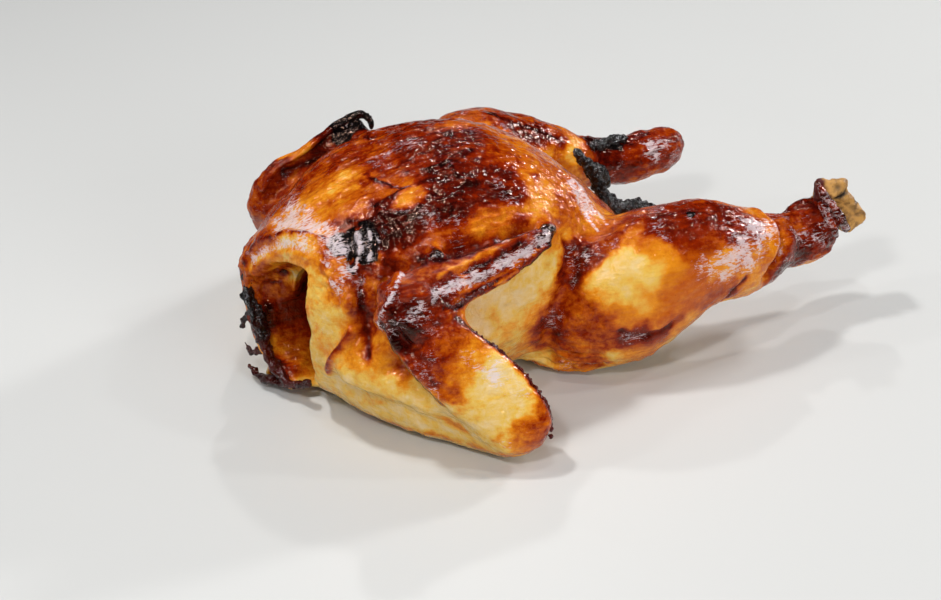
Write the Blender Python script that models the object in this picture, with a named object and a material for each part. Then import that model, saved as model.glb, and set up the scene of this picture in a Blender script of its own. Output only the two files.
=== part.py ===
"""A whole roast chicken, lying on its back, as one closed solid.

The bird's neck end points to -X, its legs to +X, its breast to +Z, and it rests on a flat patch of its
back, thighs and wings at z = 0. Each limb is a lofted tube along a few stations; the limbs are joined
with a voxel remesh, and the skin bridges the narrow gaps between them.
"""

import math

import bmesh
import bpy
from mathutils import Matrix, Vector

MM = 0.001

# Driving dimensions, in millimetres.
BODY_WIDTH = 118.0
BREAST_HEIGHT = 103.0
SKIN_BRIDGE = 2.6  # the skin fills creases narrower than twice this
VOXEL = 2.2
FLOOR_CUT_DEPTH = 30.0
TRIANGLES = 9400
RING_POINTS = 28
STEPS_PER_STATION = 5

SKIN_COLOUR = (0.42, 0.13, 0.025, 1.0)
SKIN_ROUGHNESS = 0.32


def clear_scene():
    for obj in list(bpy.data.objects):
        bpy.data.objects.remove(obj, do_unlink=True)


def between(before, start, end, after, t):
    """Catmull-Rom value between start and end, for numbers or vectors."""
    return 0.5 * (
        2 * start
        + (end - before) * t
        + (2 * before - 5 * start + 4 * end - after) * t * t
        + (3 * start - before - 3 * end + after) * t**3
    )


def refined(stations, steps=STEPS_PER_STATION):
    """The stations with a smooth run of further stations between them."""
    rows = [Vector(row) for row in stations]
    out = []
    for i in range(len(rows) - 1):
        before = rows[max(i - 1, 0)]
        after = rows[min(i + 2, len(rows) - 1)]
        for step in range(steps):
            out.append(between(before, rows[i], rows[i + 1], after, step / steps))
    out.append(rows[-1])
    return out


def mesh_object(name, rings):
    """A closed mesh skinned over rings that all have the same number of points."""
    mesh = bmesh.new()
    loops = []
    for ring in rings:
        verts = [mesh.verts.new(point) for point in ring]
        loops.append(verts)
    count = len(loops[0])
    for lower, upper in zip(loops, loops[1:]):
        for i in range(count):
            j = (i + 1) % count
            mesh.faces.new((lower[i], lower[j], upper[j], upper[i]))
    mesh.faces.new(loops[0])
    mesh.faces.new(list(reversed(loops[-1])))
    bmesh.ops.recalc_face_normals(mesh, faces=mesh.faces)
    data = bpy.data.meshes.new(name)
    mesh.to_mesh(data)
    mesh.free()
    obj = bpy.data.objects.new(name, data)
    bpy.context.scene.collection.objects.link(obj)
    return obj


def superellipse(angle, power):
    """A point of the unit superellipse: power 2 is a circle, more is boxier."""
    c, s = math.cos(angle), math.sin(angle)
    return (
        math.copysign(abs(c) ** (2 / power), c),
        math.copysign(abs(s) ** (2 / power), s),
    )


def limb(name, stations, up, power=2.0, rounded=(True, True)):
    """A tube along stations (x, y, z, half width, half height). Its height runs as near to up as the
    path allows, and an end that is rounded closes in a dome instead of a flat cap."""
    path = refined([(x, y, z) for x, y, z, _, _ in stations])
    sizes = refined([(w, h, 0.0) for _, _, _, w, h in stations])
    up = Vector(up)
    frames = []
    for i, centre in enumerate(path):
        ahead = path[min(i + 1, len(path) - 1)] - path[max(i - 1, 0)]
        tangent = ahead.normalized()
        side = tangent.cross(up).normalized()
        frames.append((centre, tangent, side, side.cross(tangent), sizes[i].x, sizes[i].y))
    for end, sign in ((0, -1.0), (-1, 1.0)):
        if not rounded[end]:
            continue
        centre, tangent, side, top, width, height = frames[end]
        dome = []
        for step in (1, 2, 3):
            turn = math.radians(28 * step)
            reach = sign * math.sin(turn) * min(width, height)
            shrink = math.cos(turn)
            dome.append((centre + tangent * reach, tangent, side, top, width * shrink, height * shrink))
        frames = frames + dome if sign > 0 else dome[::-1] + frames
    rings = []
    for centre, _, side, top, width, height in frames:
        ring = []
        for k in range(RING_POINTS):
            c, s = superellipse(2 * math.pi * k / RING_POINTS, power)
            ring.append((centre + side * (width * c) + top * (height * s)) * MM)
        rings.append(ring)
    return mesh_object(name, rings)


def torso():
    """The rump, back and breast: rings across X that are narrow at the back and full at the breast."""
    half = BODY_WIDTH / 2
    # x, underside, height of the widest line, top, half width
    stations = [
        (-77, 16, 44, 62, 0.42 * half),
        (-71, 8, 43, 72, 0.64 * half),
        (-58, 1, 44, 84, 0.82 * half),
        (-36, -3, 45, 94, 0.93 * half),
        (-8, -4, 46, 0.985 * BREAST_HEIGHT, 1.0 * half),
        (20, -4, 46, BREAST_HEIGHT, 0.98 * half),
        (46, -4, 44, 92, 0.90 * half),
        (66, -2, 41, 76, 0.78 * half),
        (82, 3, 37, 59, 0.62 * half),
        (95, 10, 32, 44, 0.42 * half),
    ]
    rings = []
    for x, low, wide, top, reach in refined_rows(stations):
        ring = []
        for k in range(2 * RING_POINTS):
            c, s = superellipse(math.pi * k / RING_POINTS, 2.25)
            height = (top - wide) * s if s > 0 else (wide - low) * s
            ring.append(Vector((x, reach * c, wide + height)) * MM)
        rings.append(ring)
    return mesh_object("torso", rings)


def refined_rows(stations):
    """Like refined, for rows of any length."""
    out = []
    for i in range(len(stations) - 1):
        before = stations[max(i - 1, 0)]
        after = stations[min(i + 2, len(stations) - 1)]
        for step in range(STEPS_PER_STATION):
            t = step / STEPS_PER_STATION
            quads = zip(before, stations[i], stations[i + 1], after)
            out.append([between(*quad, t) for quad in quads])
    out.append(list(stations[-1]))
    return out


def ellipsoid(name, centre, radii, tilt=(0.0, 0.0, 0.0)):
    mesh = bmesh.new()
    bmesh.ops.create_uvsphere(mesh, u_segments=32, v_segments=20, radius=1.0)
    turn = Matrix.Rotation(math.radians(tilt[2]), 4, "Z")
    turn = turn @ Matrix.Rotation(math.radians(tilt[1]), 4, "Y")
    turn = turn @ Matrix.Rotation(math.radians(tilt[0]), 4, "X")
    size = Matrix.Diagonal((*(r * MM for r in radii), 1.0))
    mesh.transform(Matrix.Translation(Vector(centre) * MM) @ turn @ size)
    data = bpy.data.meshes.new(name)
    mesh.to_mesh(data)
    mesh.free()
    obj = bpy.data.objects.new(name, data)
    bpy.context.scene.collection.objects.link(obj)
    return obj


def breast():
    """The two breast fillets either side of the keel."""
    return [
        ellipsoid("fillet_near", (4, -23, 60), (64, 30, 38), (18, 4, 0)),
        ellipsoid("fillet_far", (4, 23, 60), (64, 30, 38), (-18, 4, 0)),
    ]


def near_leg():
    """Thigh and drumstick under tight skin, and the bare shank that comes out of it."""
    flesh = [
        (42, -36, 27, 24, 30),
        (62, -49, 33, 28.5, 33),
        (82, -56, 42, 26, 30),
        (100, -59, 47, 23, 25),
        (118, -60, 43.5, 20.5, 22),
        (132, -60, 41.3, 18, 18.7),
        (142, -60, 40.5, 14.5, 15),
        (146, -60, 40, 12, 12.5),
    ]
    shank = [
        (138, -58, 38, 8, 8),
        (149, -57, 36, 9.5, 10),
        (159, -57, 37, 12.5, 13),
        (167, -57, 39.5, 13.5, 14),
        (174, -57, 43, 12, 12.5),
        (180, -57, 46.5, 9.5, 10),
    ]
    knuckle = [
        (179, -57, 46.5, 8, 9),
        (185, -57, 49, 9.5, 11.5),
        (189, -57, 50, 8.5, 10.5),
    ]
    return [
        limb("near_leg_flesh", flesh, (0, 0, 1), 2.15),
        limb("near_shank", shank, (0, 0, 1)),
        limb("near_knuckle", knuckle, (0, 0, 1), 2.6),
    ]


def far_leg():
    """The other leg, turned in towards the tail, its joint still under the skin."""
    flesh = [
        (30, 38, 38, 24, 32),
        (50, 54, 50, 27, 32),
        (72, 58, 48.5, 25, 27),
        (94, 54, 47, 18.5, 19.5),
        (110, 50, 44, 13, 13.5),
        (121, 48, 42.5, 11, 12),
        (132, 46, 41, 11.5, 11.5),
        (148, 43, 43, 12, 12),
        (157, 42, 44.5, 10, 10.5),
    ]
    return [limb("far_leg_flesh", flesh, (0, 0, 1), 2.1)]


def wing(name, side, hand, shift=(0.0, 0.0), lift=1.0):
    """A folded wing: the upper arm low down, the forearm back up to the wrist, and the hand.
    It is moved by shift along X and outwards, and lift scales how far up the wrist goes."""
    upper_arm = [
        (-57, 18, 28, 15, 21),
        (-51, 38, 22, 14.5, 19),
        (-39, 60, 17, 12.5, 16),
        (-25, 81, 14, 11.5, 14),
        (-17, 95, 14, 12, 13),
    ]
    forearm = [
        (-15, 99, 17, 14, 12),
        (-24, 92, 30, 16.5, 9.5),
        (-37, 82, 45, 16, 8.5),
        (-49, 71, 60, 14, 8),
        (-56, 64, 71, 12.5, 7.5),
    ]
    web = [
        (-62, 44, 42, 18, 7),
        (-52, 60, 38, 16, 6),
        (-38, 78, 28, 11, 5.5),
    ]

    def placed(rows):
        moved = []
        for x, y, z, width, height in rows:
            moved.append((x + shift[0], side * (y + shift[1]), z * lift, width, height))
        return moved

    outward = (-0.36, side * 0.85, 0.39)
    return [
        limb(name + "_upper_arm", placed(upper_arm), (0, 0, 1), 2.3),
        limb(name + "_forearm", placed(forearm), outward, 3.0, rounded=(True, False)),
        limb(name + "_web", placed(web), outward, 2.2),
        limb(name + "_hand", hand, (0, side * 0.75, 0.66), 2.8, rounded=(False, True)),
    ]


def near_wing():
    hand = [
        (-60, -64, 69, 11, 6.5),
        (-44, -64.5, 70, 12.5, 6),
        (-20, -64, 71, 10.5, 5),
        (4, -61, 74, 8, 4.5),
        (20, -58.5, 77, 5, 4),
        (29, -56.5, 79, 2.8, 2.8),
    ]
    thumb = [
        (-44, -60, 74, 5, 4),
        (-34, -57, 79, 4, 3.2),
        (-28, -54.5, 83, 2.6, 2.6),
    ]
    return [*wing("near_wing", -1, hand), limb("near_thumb", thumb, (0, -0.75, 0.66))]


def far_wing():
    hand = [
        (-55, 60, 54, 8, 5),
        (-52, 62, 65, 7, 5),
        (-44, 61, 73.5, 6, 4.5),
        (-32, 59, 78.5, 5, 3.8),
        (-19, 57, 86.5, 4.5, 3.6),
        (-9, 55, 91.5, 3.5, 3.2),
        (-5, 53.5, 86, 2.8, 2.8),
    ]
    return wing("far_wing", 1, hand, shift=(8.0, -4.0), lift=0.82)


def neck_skin():
    """The loose skin round the neck opening: a lip over the top, a fold each side, and a torn flap."""
    hood = [
        (-60, -36, 56, 9, 9),
        (-61, -24, 69, 9, 9),
        (-64, -6, 71, 9, 8),
        (-70, 12, 67, 9, 8),
        (-74, 24, 54, 9, 7),
    ]
    near_fold = [
        (-59, -37, 58, 10, 10),
        (-60, -35, 42, 10, 11),
        (-59, -33, 24, 10, 11),
        (-55, -29, 10, 8, 9),
    ]
    far_flap = [
        (-74, 24, 54, 9, 6),
        (-75, 22, 42, 9, 5),
        (-75, 16, 27, 9, 4),
        (-74, 6, 14, 8, 3.5),
        (-72, -5, 5, 7, 3.5),
    ]
    shred = [
        (-72, 8, 6, 5, 3),
        (-76, 11, 3.5, 4, 2.6),
        (-80, 13, 3.5, 2.5, 2.2),
    ]
    hook = [
        (-74, 18, 18, 5, 3),
        (-77, 20, 14, 3.5, 2.6),
        (-79, 21, 17, 2.2, 2.2),
    ]
    return [
        limb("hood", hood, (-1, 0, 0)),
        limb("near_fold", near_fold, (0, -1, 0)),
        limb("far_flap", far_flap, (0, 1, 0.2)),
        limb("shred", shred, (0, 0, 1)),
        limb("hook", hook, (0, 1, 0)),
    ]


def tail():
    """The parson's nose, below the vent."""
    stations = [
        (84, 0, 16, 22, 13),
        (104, 0, 14, 15, 9),
        (116, 0, 17, 9, 6),
        (121, 0, 19, 5, 4),
    ]
    return [limb("tail", stations, (0, 0, 1), 2.2)]


def cutters():
    """What the neck opening, the vent and the surface that the bird rests on take away."""
    neck = limb(
        "neck_cutter",
        [
            (-100, -12, 34, 13, 28),
            (-70, -12, 34, 13.5, 28),
            (-52, -5, 36, 19, 26),
            (-34, 0, 38, 18, 20),
        ],
        (0, 0, 1),
    )
    vent = limb(
        "vent_cutter",
        [(122, 2, 45, 22, 10), (94, 1, 35, 20, 11), (70, 0, 34, 20, 14), (50, 0, 35, 13, 9)],
        (0, 0, 1),
    )
    return [neck, vent]


def floor_cutter():
    bpy.ops.mesh.primitive_cube_add(size=1.0)
    box = bpy.context.object
    box.name = "floor_cutter"
    box.dimensions = (1.0, 1.0, FLOOR_CUT_DEPTH * MM)
    box.location = (0.0, 0.0, -FLOOR_CUT_DEPTH * MM / 2)
    return box


def hide_helper(obj):
    obj.hide_render = True
    obj.display_type = "WIRE"


def joined(name, objects):
    """One object that holds all the given closed shapes, which may still pass through each other."""
    mesh = bmesh.new()
    for obj in objects:
        mesh.from_mesh(obj.data)
        bpy.data.objects.remove(obj, do_unlink=True)
    data = bpy.data.meshes.new(name)
    mesh.to_mesh(data)
    mesh.free()
    result = bpy.data.objects.new(name, data)
    bpy.context.scene.collection.objects.link(result)
    return result


def add_remesh(obj):
    remesh = obj.modifiers.new("Remesh", "REMESH")
    remesh.mode = "VOXEL"
    remesh.voxel_size = VOXEL * MM


def add_swell(obj, distance):
    """Moves the surface out by distance, or in where it is negative."""
    swell = obj.modifiers.new("Displace", "DISPLACE")
    swell.mid_level = 0.0
    swell.strength = distance * MM


def add_smooth(obj, rounds):
    smooth = obj.modifiers.new("Smooth", "SMOOTH")
    smooth.factor = 0.5
    smooth.iterations = rounds


def add_cut(obj, cutter):
    cut = obj.modifiers.new("Cut", "BOOLEAN")
    cut.operation = "DIFFERENCE"
    cut.object = cutter
    hide_helper(cutter)


def applied(obj):
    """Replaces the object's mesh with what its modifiers make of it."""
    graph = bpy.context.evaluated_depsgraph_get()
    graph.update()
    made = bpy.data.meshes.new_from_object(obj.evaluated_get(graph))
    obj.modifiers.clear()
    obj.data = made


def add_decimate(obj, triangles):
    """Collapses edges down to about that many triangles."""
    obj.data.calc_loop_triangles()
    decimate = obj.modifiers.new("Decimate", "DECIMATE")
    decimate.ratio = min(1.0, triangles / len(obj.data.loop_triangles))
    decimate.use_collapse_triangulate = True


def centred(obj):
    """Moves the mesh so that the origin is under its middle, where it rests."""
    low = [min(vert.co[axis] for vert in obj.data.vertices) for axis in range(3)]
    high = [max(vert.co[axis] for vert in obj.data.vertices) for axis in range(3)]
    offset = Vector(((low[0] + high[0]) / 2, (low[1] + high[1]) / 2, low[2]))
    obj.data.transform(Matrix.Translation(-offset))


def skin_material():
    skin = bpy.data.materials.new("roasted_skin")
    skin.use_nodes = True
    shader = skin.node_tree.nodes["Principled BSDF"]
    shader.inputs["Base Color"].default_value = SKIN_COLOUR
    shader.inputs["Roughness"].default_value = SKIN_ROUGHNESS
    shader.inputs["Metallic"].default_value = 0.0
    return skin


def build():
    clear_scene()
    pieces = [torso(), *breast(), *near_leg(), *far_leg(), *near_wing(), *far_wing(), *neck_skin(), *tail()]
    bird = joined("roast_chicken", pieces)
    add_remesh(bird)
    add_swell(bird, SKIN_BRIDGE)
    add_remesh(bird)
    add_swell(bird, -SKIN_BRIDGE)
    add_smooth(bird, 3)
    add_remesh(bird)
    for cutter in cutters():
        add_cut(bird, cutter)
    add_remesh(bird)
    add_smooth(bird, 3)
    applied(bird)
    add_decimate(bird, TRIANGLES)
    add_cut(bird, floor_cutter())
    applied(bird)
    centred(bird)
    bird.data.materials.clear()
    bird.data.materials.append(skin_material())
    return bird


build()
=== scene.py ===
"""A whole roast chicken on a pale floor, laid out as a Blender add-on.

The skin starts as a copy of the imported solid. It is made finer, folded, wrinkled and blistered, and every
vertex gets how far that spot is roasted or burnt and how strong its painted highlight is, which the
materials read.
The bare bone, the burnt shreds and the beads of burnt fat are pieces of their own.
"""

import math

import bmesh
import bpy
import numpy as np
from bpy.props import FloatProperty, FloatVectorProperty, PointerProperty
from mathutils import Matrix, Vector


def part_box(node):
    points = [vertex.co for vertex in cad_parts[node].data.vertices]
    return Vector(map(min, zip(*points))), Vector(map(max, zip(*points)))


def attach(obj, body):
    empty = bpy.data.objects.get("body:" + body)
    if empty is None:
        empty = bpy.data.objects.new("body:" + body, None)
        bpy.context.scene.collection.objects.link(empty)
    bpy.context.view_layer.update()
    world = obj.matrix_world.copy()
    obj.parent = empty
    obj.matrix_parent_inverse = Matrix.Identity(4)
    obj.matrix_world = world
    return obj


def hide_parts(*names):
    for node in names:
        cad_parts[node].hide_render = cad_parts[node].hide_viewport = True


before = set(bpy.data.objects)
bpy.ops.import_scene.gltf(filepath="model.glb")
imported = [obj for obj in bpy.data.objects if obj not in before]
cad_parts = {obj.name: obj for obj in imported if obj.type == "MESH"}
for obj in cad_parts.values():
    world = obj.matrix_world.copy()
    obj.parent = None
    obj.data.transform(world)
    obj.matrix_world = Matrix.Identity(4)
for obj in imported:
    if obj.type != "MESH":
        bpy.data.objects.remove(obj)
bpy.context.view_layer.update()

bl_info = {
    "name": "Roast chicken",
    "version": (1, 0, 0),
    "blender": (4, 5, 0),
    "location": "3D View > Sidebar > Roast chicken",
    "description": "Makes a whole roast chicken around its packed solid",
    "category": "Object",
}

NODE = "roast_chicken"
LOW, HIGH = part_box(NODE)
# The bird's own millimetres: X from neck to legs, Y to its left side, Z up, the origin under its middle.
LENGTH = 279.2
MM = (HIGH.x - LOW.x) / LENGTH
MIDDLE = np.array(((LOW.x + HIGH.x) / 2, (LOW.y + HIGH.y) / 2, LOW.z))


def linear(red, green, blue):
    """A colour given as it looks on screen, as the linear values that a shader takes."""
    return tuple(c / 12.92 if c <= 0.04045 else ((c + 0.055) / 1.055) ** 2.4 for c in (red, green, blue))


# -------------------------------------------------------------------------------------- sizes and colours


def length(name, description, millimetres):
    return FloatProperty(
        name=name, description=description, default=millimetres / 1000, unit="LENGTH", precision=5, min=0.0
    )


class RoastSizes(bpy.types.PropertyGroup):
    """How fine the skin is and how deep its relief goes."""

    grid: length("Grid", "Spacing of the skin's mesh", 0.85)
    lump_height: length("Lumps", "Height of the soft lumps", 0.75)
    wrinkle_scale: FloatProperty(
        name="Wrinkles", description="Scale of every wrinkle", default=1.5, subtype="FACTOR", min=0.0
    )
    bead_size: length("Beads", "Radius of a bead of burnt fat on the wing", 1.0)
    crumb_size: length("Crumbs", "Radius of a burnt crumb", 1.7)


def colour(name, description, value):
    return FloatVectorProperty(
        name=name, description=description, default=linear(*value), subtype="COLOR", size=3, min=0.0, max=1.0
    )


class RoastColours(bpy.types.PropertyGroup):
    """The skin's colours from hardly roasted to burnt, and those of the other finishes."""

    cream: colour("Cream", "Skin that the heat hardly reached", (0.89, 0.78, 0.57))
    straw: colour("Straw", "Skin that has just begun to colour", (0.88, 0.71, 0.32))
    gold: colour("Gold", "Golden skin", (0.86, 0.53, 0.10))
    amber: colour("Amber", "Orange skin", (0.72, 0.33, 0.04))
    brown: colour("Brown", "Well browned skin", (0.51, 0.122, 0.007))
    mahogany: colour("Mahogany", "Dark glazed skin", (0.315, 0.042, 0.010))
    burgundy: colour("Burgundy", "The darkest glaze", (0.155, 0.018, 0.011))
    black: colour("Black", "Burnt skin", (0.032, 0.023, 0.023))
    # The pale colour painted on the skin as the glaze's highlights and reflections.
    film: colour("Film", "Dried glaze over the skin", (0.86, 0.80, 0.81))
    bone: colour("Bone", "The bare joint end", (0.76, 0.56, 0.29))
    marrow: colour("Marrow", "Dark stains in the bone", (0.25, 0.15, 0.08))
    deep: colour("Deep", "The darkest unburnt skin", (0.085, 0.009, 0.005))
    # Pale grey of cinders, also used as painted glints on the burnt shreds.
    ash_and_glints: colour("Ash", "Pale edges of what is burnt", (0.50, 0.49, 0.51))
    floor: colour("Floor", "The surface that the bird lies on", (0.80, 0.80, 0.79))


# ------------------------------------------------------------------------------------------------ helpers


def to_world(points):
    return MIDDLE + np.asarray(points, float) * MM


def to_bird(points):
    return (np.asarray(points, float) - MIDDLE) / MM


def cell_value(cells, seed):
    """A repeatable value from -1 to 1 for each whole-number cell."""
    mixed = cells[0] * 73856093 ^ cells[1] * 19349663 ^ cells[2] * 83492791 ^ (seed * 2654435761)
    mixed = (mixed ^ (mixed >> 13)) * 1274126177 & 0x7FFFFFFF
    mixed = (mixed ^ (mixed >> 15)) * 668265263 & 0x7FFFFFFF
    return mixed / 0x3FFFFFFF - 1.0


def noise(points, pitch, seed=0, octaves=1):
    """Smooth noise from about -1 to 1 whose lumps are one pitch apart."""
    total, gain, reach = np.zeros(len(points)), 1.0, 0.0
    for octave in range(octaves):
        scaled = points / pitch * 2.0**octave + 17.3 * octave
        base = np.floor(scaled).astype(np.int64)
        part = scaled - base
        part = part * part * (3 - 2 * part)
        value = np.zeros(len(points))
        for corner in range(8):
            step = np.array((corner & 1, corner >> 1 & 1, corner >> 2 & 1))
            weight = np.prod(np.where(step == 1, part, 1 - part), axis=1)
            value += weight * cell_value((base + step).T, seed + octave)
        total += gain * value
        reach += gain
        gain *= 0.5
    return 1.6 * total / reach


def warped(points, pitch, amount, seed):
    """The points pushed about, so that what is measured from them gets an uneven edge."""
    push = [noise(points, pitch, seed + axis, 2) for axis in range(3)]
    return points + amount * np.stack(push, axis=1)


def path_distance(points, path):
    """Distance from each point to a line through the path's points."""
    best = np.full(len(points), 1e9)
    path = np.asarray(path, float)
    for start, end in zip(path, path[1:]):
        run = end - start
        along = np.clip((points - start) @ run / (run @ run), 0, 1)
        best = np.minimum(best, np.linalg.norm(points - start - along[:, None] * run, axis=1))
    return best


def along(points, path, width):
    """A soft mask: 1 on the line, falling away over the width to each side."""
    return np.exp(-((path_distance(points, path) / width) ** 2))


def near(points, centre, radius):
    """A soft mask: 1 at the centre, falling away over the radius."""
    gap = np.linalg.norm(points - np.asarray(centre, float), axis=1)
    return np.exp(-((gap / radius) ** 2))


def grain(points, way, pitch, stretch, seed):
    """Ridges that run one way: noise drawn out along it, folded so that its crests are narrow."""
    way = np.asarray(way, float) / np.linalg.norm(way)
    lengthwise = points @ way
    flat = points - lengthwise[:, None] * way
    drawn = flat + (lengthwise / stretch)[:, None] * way
    return 1.0 - 2.0 * np.abs(noise(drawn, pitch, seed, 2))


# ------------------------------------------------------------------------------ where the bird is roasted

# Each spot is x, y, z, radius and how far it is roasted there: 0 is cream, 1 is black.
BREAST_ROAST = (
    (-103, 8, 90, 12, 0.36), (-98, 22, 91, 4, 0.64), (-106, 0, 89, 3, 0.62), (-93, -2, 94, 3, 0.70),
    (-84, 6, 97, 4, 0.70), (-81, -26, 94, 5, 0.30), (-100, -6, 91, 6, 0.44), (-91, 25, 92, 14, 0.60),
    (-96, 12, 93, 5, 0.26), (-108, 18, 86, 6, 0.50), (-78, 19, 97, 12, 0.60), (-60, 7, 102, 14, 0.68),
    (-43, -4, 103, 11, 0.77), (-39, 12, 103, 7, 0.40), (-61, -3, 102, 9, 0.72), (-33, -16, 100, 9, 0.56),
    (-64, -31, 96, 11, 0.83), (-51, -36, 94, 9, 0.80), (-40, -33, 94, 7, 0.80), (-75, -36, 93, 9, 0.82),
    (-96, -34, 86, 9, 0.88), (-89, -36, 88, 8, 0.88), (-96, -40, 79, 7, 0.55), (-80, -44, 84, 8, 0.50),
    (-62, -47, 84, 8, 0.34), (-51, -48, 83, 8, 0.36), (-29, -37, 90, 10, 0.32), (-38, -39, 91, 5, 0.76),
    (-24, -30, 91, 4, 0.58), (-24, -41, 84, 8, 0.34), (-20, -20, 94, 10, 0.44), (-20, -44, 78, 7, 0.55),
    (-7, -41, 73, 7, 0.42), (-87, -13, 95, 6, 0.50), (-94, -19, 91, 5, 0.80), (0, -20, 82, 12, 0.46),
    (-80, 46, 84, 14, 0.62), (-50, 46, 86, 14, 0.66), (-20, 40, 84, 14, 0.52), (-45, 30, 96, 12, 0.66),
    (0, 20, 82, 14, 0.50), (-10, 0, 94, 12, 0.44),
)
NECK_ROAST = (
    (-120, 8, 80, 8, 0.30), (-118, -1, 82, 6, 0.34), (-115, 28, 78, 9, 0.62), (-137, 23, 57, 8, 0.50),
    (-135, 16, 62, 4, 0.50), (-133, 8, 68, 3, 0.42), (-135, 15, 48, 8, 0.54), (-134, 5, 66, 4, 0.34),
    (-129, -2, 74, 5, 0.20), (-124, -13, 78, 5, 0.26), (-119, -16, 80, 4, 0.40), (-113, -24, 82, 8, 0.72),
    (-104, -38, 76, 5, 0.90), (-101, -30, 84, 6, 0.90), (-117, -29, 76, 6, 0.36),
    (-105, -30, 82, 6, 0.86), (-115, -35, 72, 5, 0.74), (-121, -33, 69, 5, 0.42),
    (-128, -26, 63, 5, 0.20), (-129, -33, 45, 9, 0.16), (-131, -26, 25, 8, 0.16),
    (-128, -39, 38, 4, 0.25), (-123, -43, 49, 4, 0.46), (-117, -45, 55, 5, 0.64),
    (-111, -42, 67, 6, 0.52), (-104, -40, 74, 5, 0.70), (-122, -50, 43, 6, 0.36),
    (-120, -58, 37, 6, 0.28), (-118, -54, 43, 5, 0.34), (-112, -65, 39, 5, 0.50),
    (-117, -60, 28, 6, 0.14), (-123, -38, 20, 8, 0.12), (-108, -58, 7, 9, 0.08), (-112, 15, 40, 12, 0.74),
    (-112, 10, 26, 9, 0.66), (-116, 0, 40, 9, 0.84), (-122, 0, 16, 7, 0.44), (-122, -8, 60, 6, 0.38),
    (-123, -14, 54, 5, 0.34), (-124, 8, 58, 4, 0.50), (-124, 13, 54, 2.4, 0.95), (-123, 7, 53, 7, 0.03),
    (-122, 1, 50, 5, 0.06), (-126, 13, 49, 4, 0.12), (-129, 18, 53, 2.5, 0.90), (-127, 17, 45, 2.5, 0.85),
    (-126, 16, 41, 4, 0.42), (-131, -2, 66, 4, 0.24), (-120, 10, 19, 5, 0.52), (-124, -2, 66, 2, 0.92),
    (-126, 18, 42, 6, 0.62), (-104, 0, 35, 12, 0.92), (-132, -8, 65, 4, 0.30), (-134, 17, 30, 5, 0.86),
    (-133, 2, 10, 5, 0.80), (-128, 40, 40, 14, 0.50), (-120, 44, 62, 12, 0.60),
)
WING_ROAST = (
    (-116, -65, 75, 5, 0.64), (-105, -68, 77, 6, 0.62), (-112, -71, 71, 5, 0.86),
    (-116, -73, 61, 4, 0.90), (-105, -75, 66, 6, 0.76), (-108, -82, 46, 4, 0.64),
    (-102, -88, 37, 4, 0.56), (-112, -78, 52, 4, 0.72), (-104, -83, 50, 5, 0.60), (-97, -84, 58, 6, 0.60),
    (-92, -88, 50, 6, 0.38), (-97, -90, 41, 5, 0.26), (-100, -87, 47, 4, 0.46), (-86, -87, 54, 5, 0.36),
    (-108, -84, 41, 3, 0.66), (-83, -94, 43, 10, 0.08), (-75, -101, 34, 7, 0.14), (-86, -99, 30, 8, 0.10),
    (-79, -106, 20, 4, 0.44), (-84, -103, 17, 5, 0.22), (-90, -98, 22, 3, 0.12), (-74, -107, 21, 5, 0.54),
    (-65, -103, 28, 5, 0.62), (-70, -107, 13, 6, 0.50), (-88, -90, 10, 9, 0.12), (-101, -80, 25, 9, 0.10),
    (-98, -68, 74, 5, 0.74), (-83, -61, 79, 4, 0.52), (-66, -58, 80, 4, 0.50), (-50, -57, 81, 4, 0.62),
    (-73, -66, 74, 4, 0.72), (-89, -68, 72, 4, 0.74), (-62, -64, 76, 4, 0.72), (-50, -62, 77, 4, 0.74),
    (-40, -61, 77, 4, 0.84), (-106, -65, 78, 5, 0.66), (-98, -64, 77, 4, 0.60), (-31, -57, 78, 4, 1.00),
    (-87, -55, 82, 4, 0.90), (-72, -50, 79, 7, 0.80), (-58, -52, 80, 5, 0.84), (-96, -50, 78, 6, 0.70),
    (-45, -50, 80, 6, 0.62),
)
SIDE_ROAST = (
    (-67, -56, 53, 10, 0.04), (-67, -56, 41, 8, 0.08), (-60, -56, 46, 4, 0.26), (-53, -55, 32, 8, 0.20),
    (-50, -56, 46, 6, 0.04), (-46, -55, 42, 5, 0.24), (-27, -56, 40, 7, 0.62), (-29, -54, 29, 6, 0.68),
    (-31, -52, 22, 7, 0.66), (-43, -50, 20, 8, 0.30), (-36, -55, 45, 7, 0.30), (-17, -52, 60, 6, 0.84),
    (-21, -55, 53, 5, 0.76), (-24, -50, 67, 6, 0.28), (-38, -54, 60, 8, 0.10), (-45, -54, 52, 8, 0.06),
    (-30, -42, 8, 8, 0.16),
)
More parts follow.
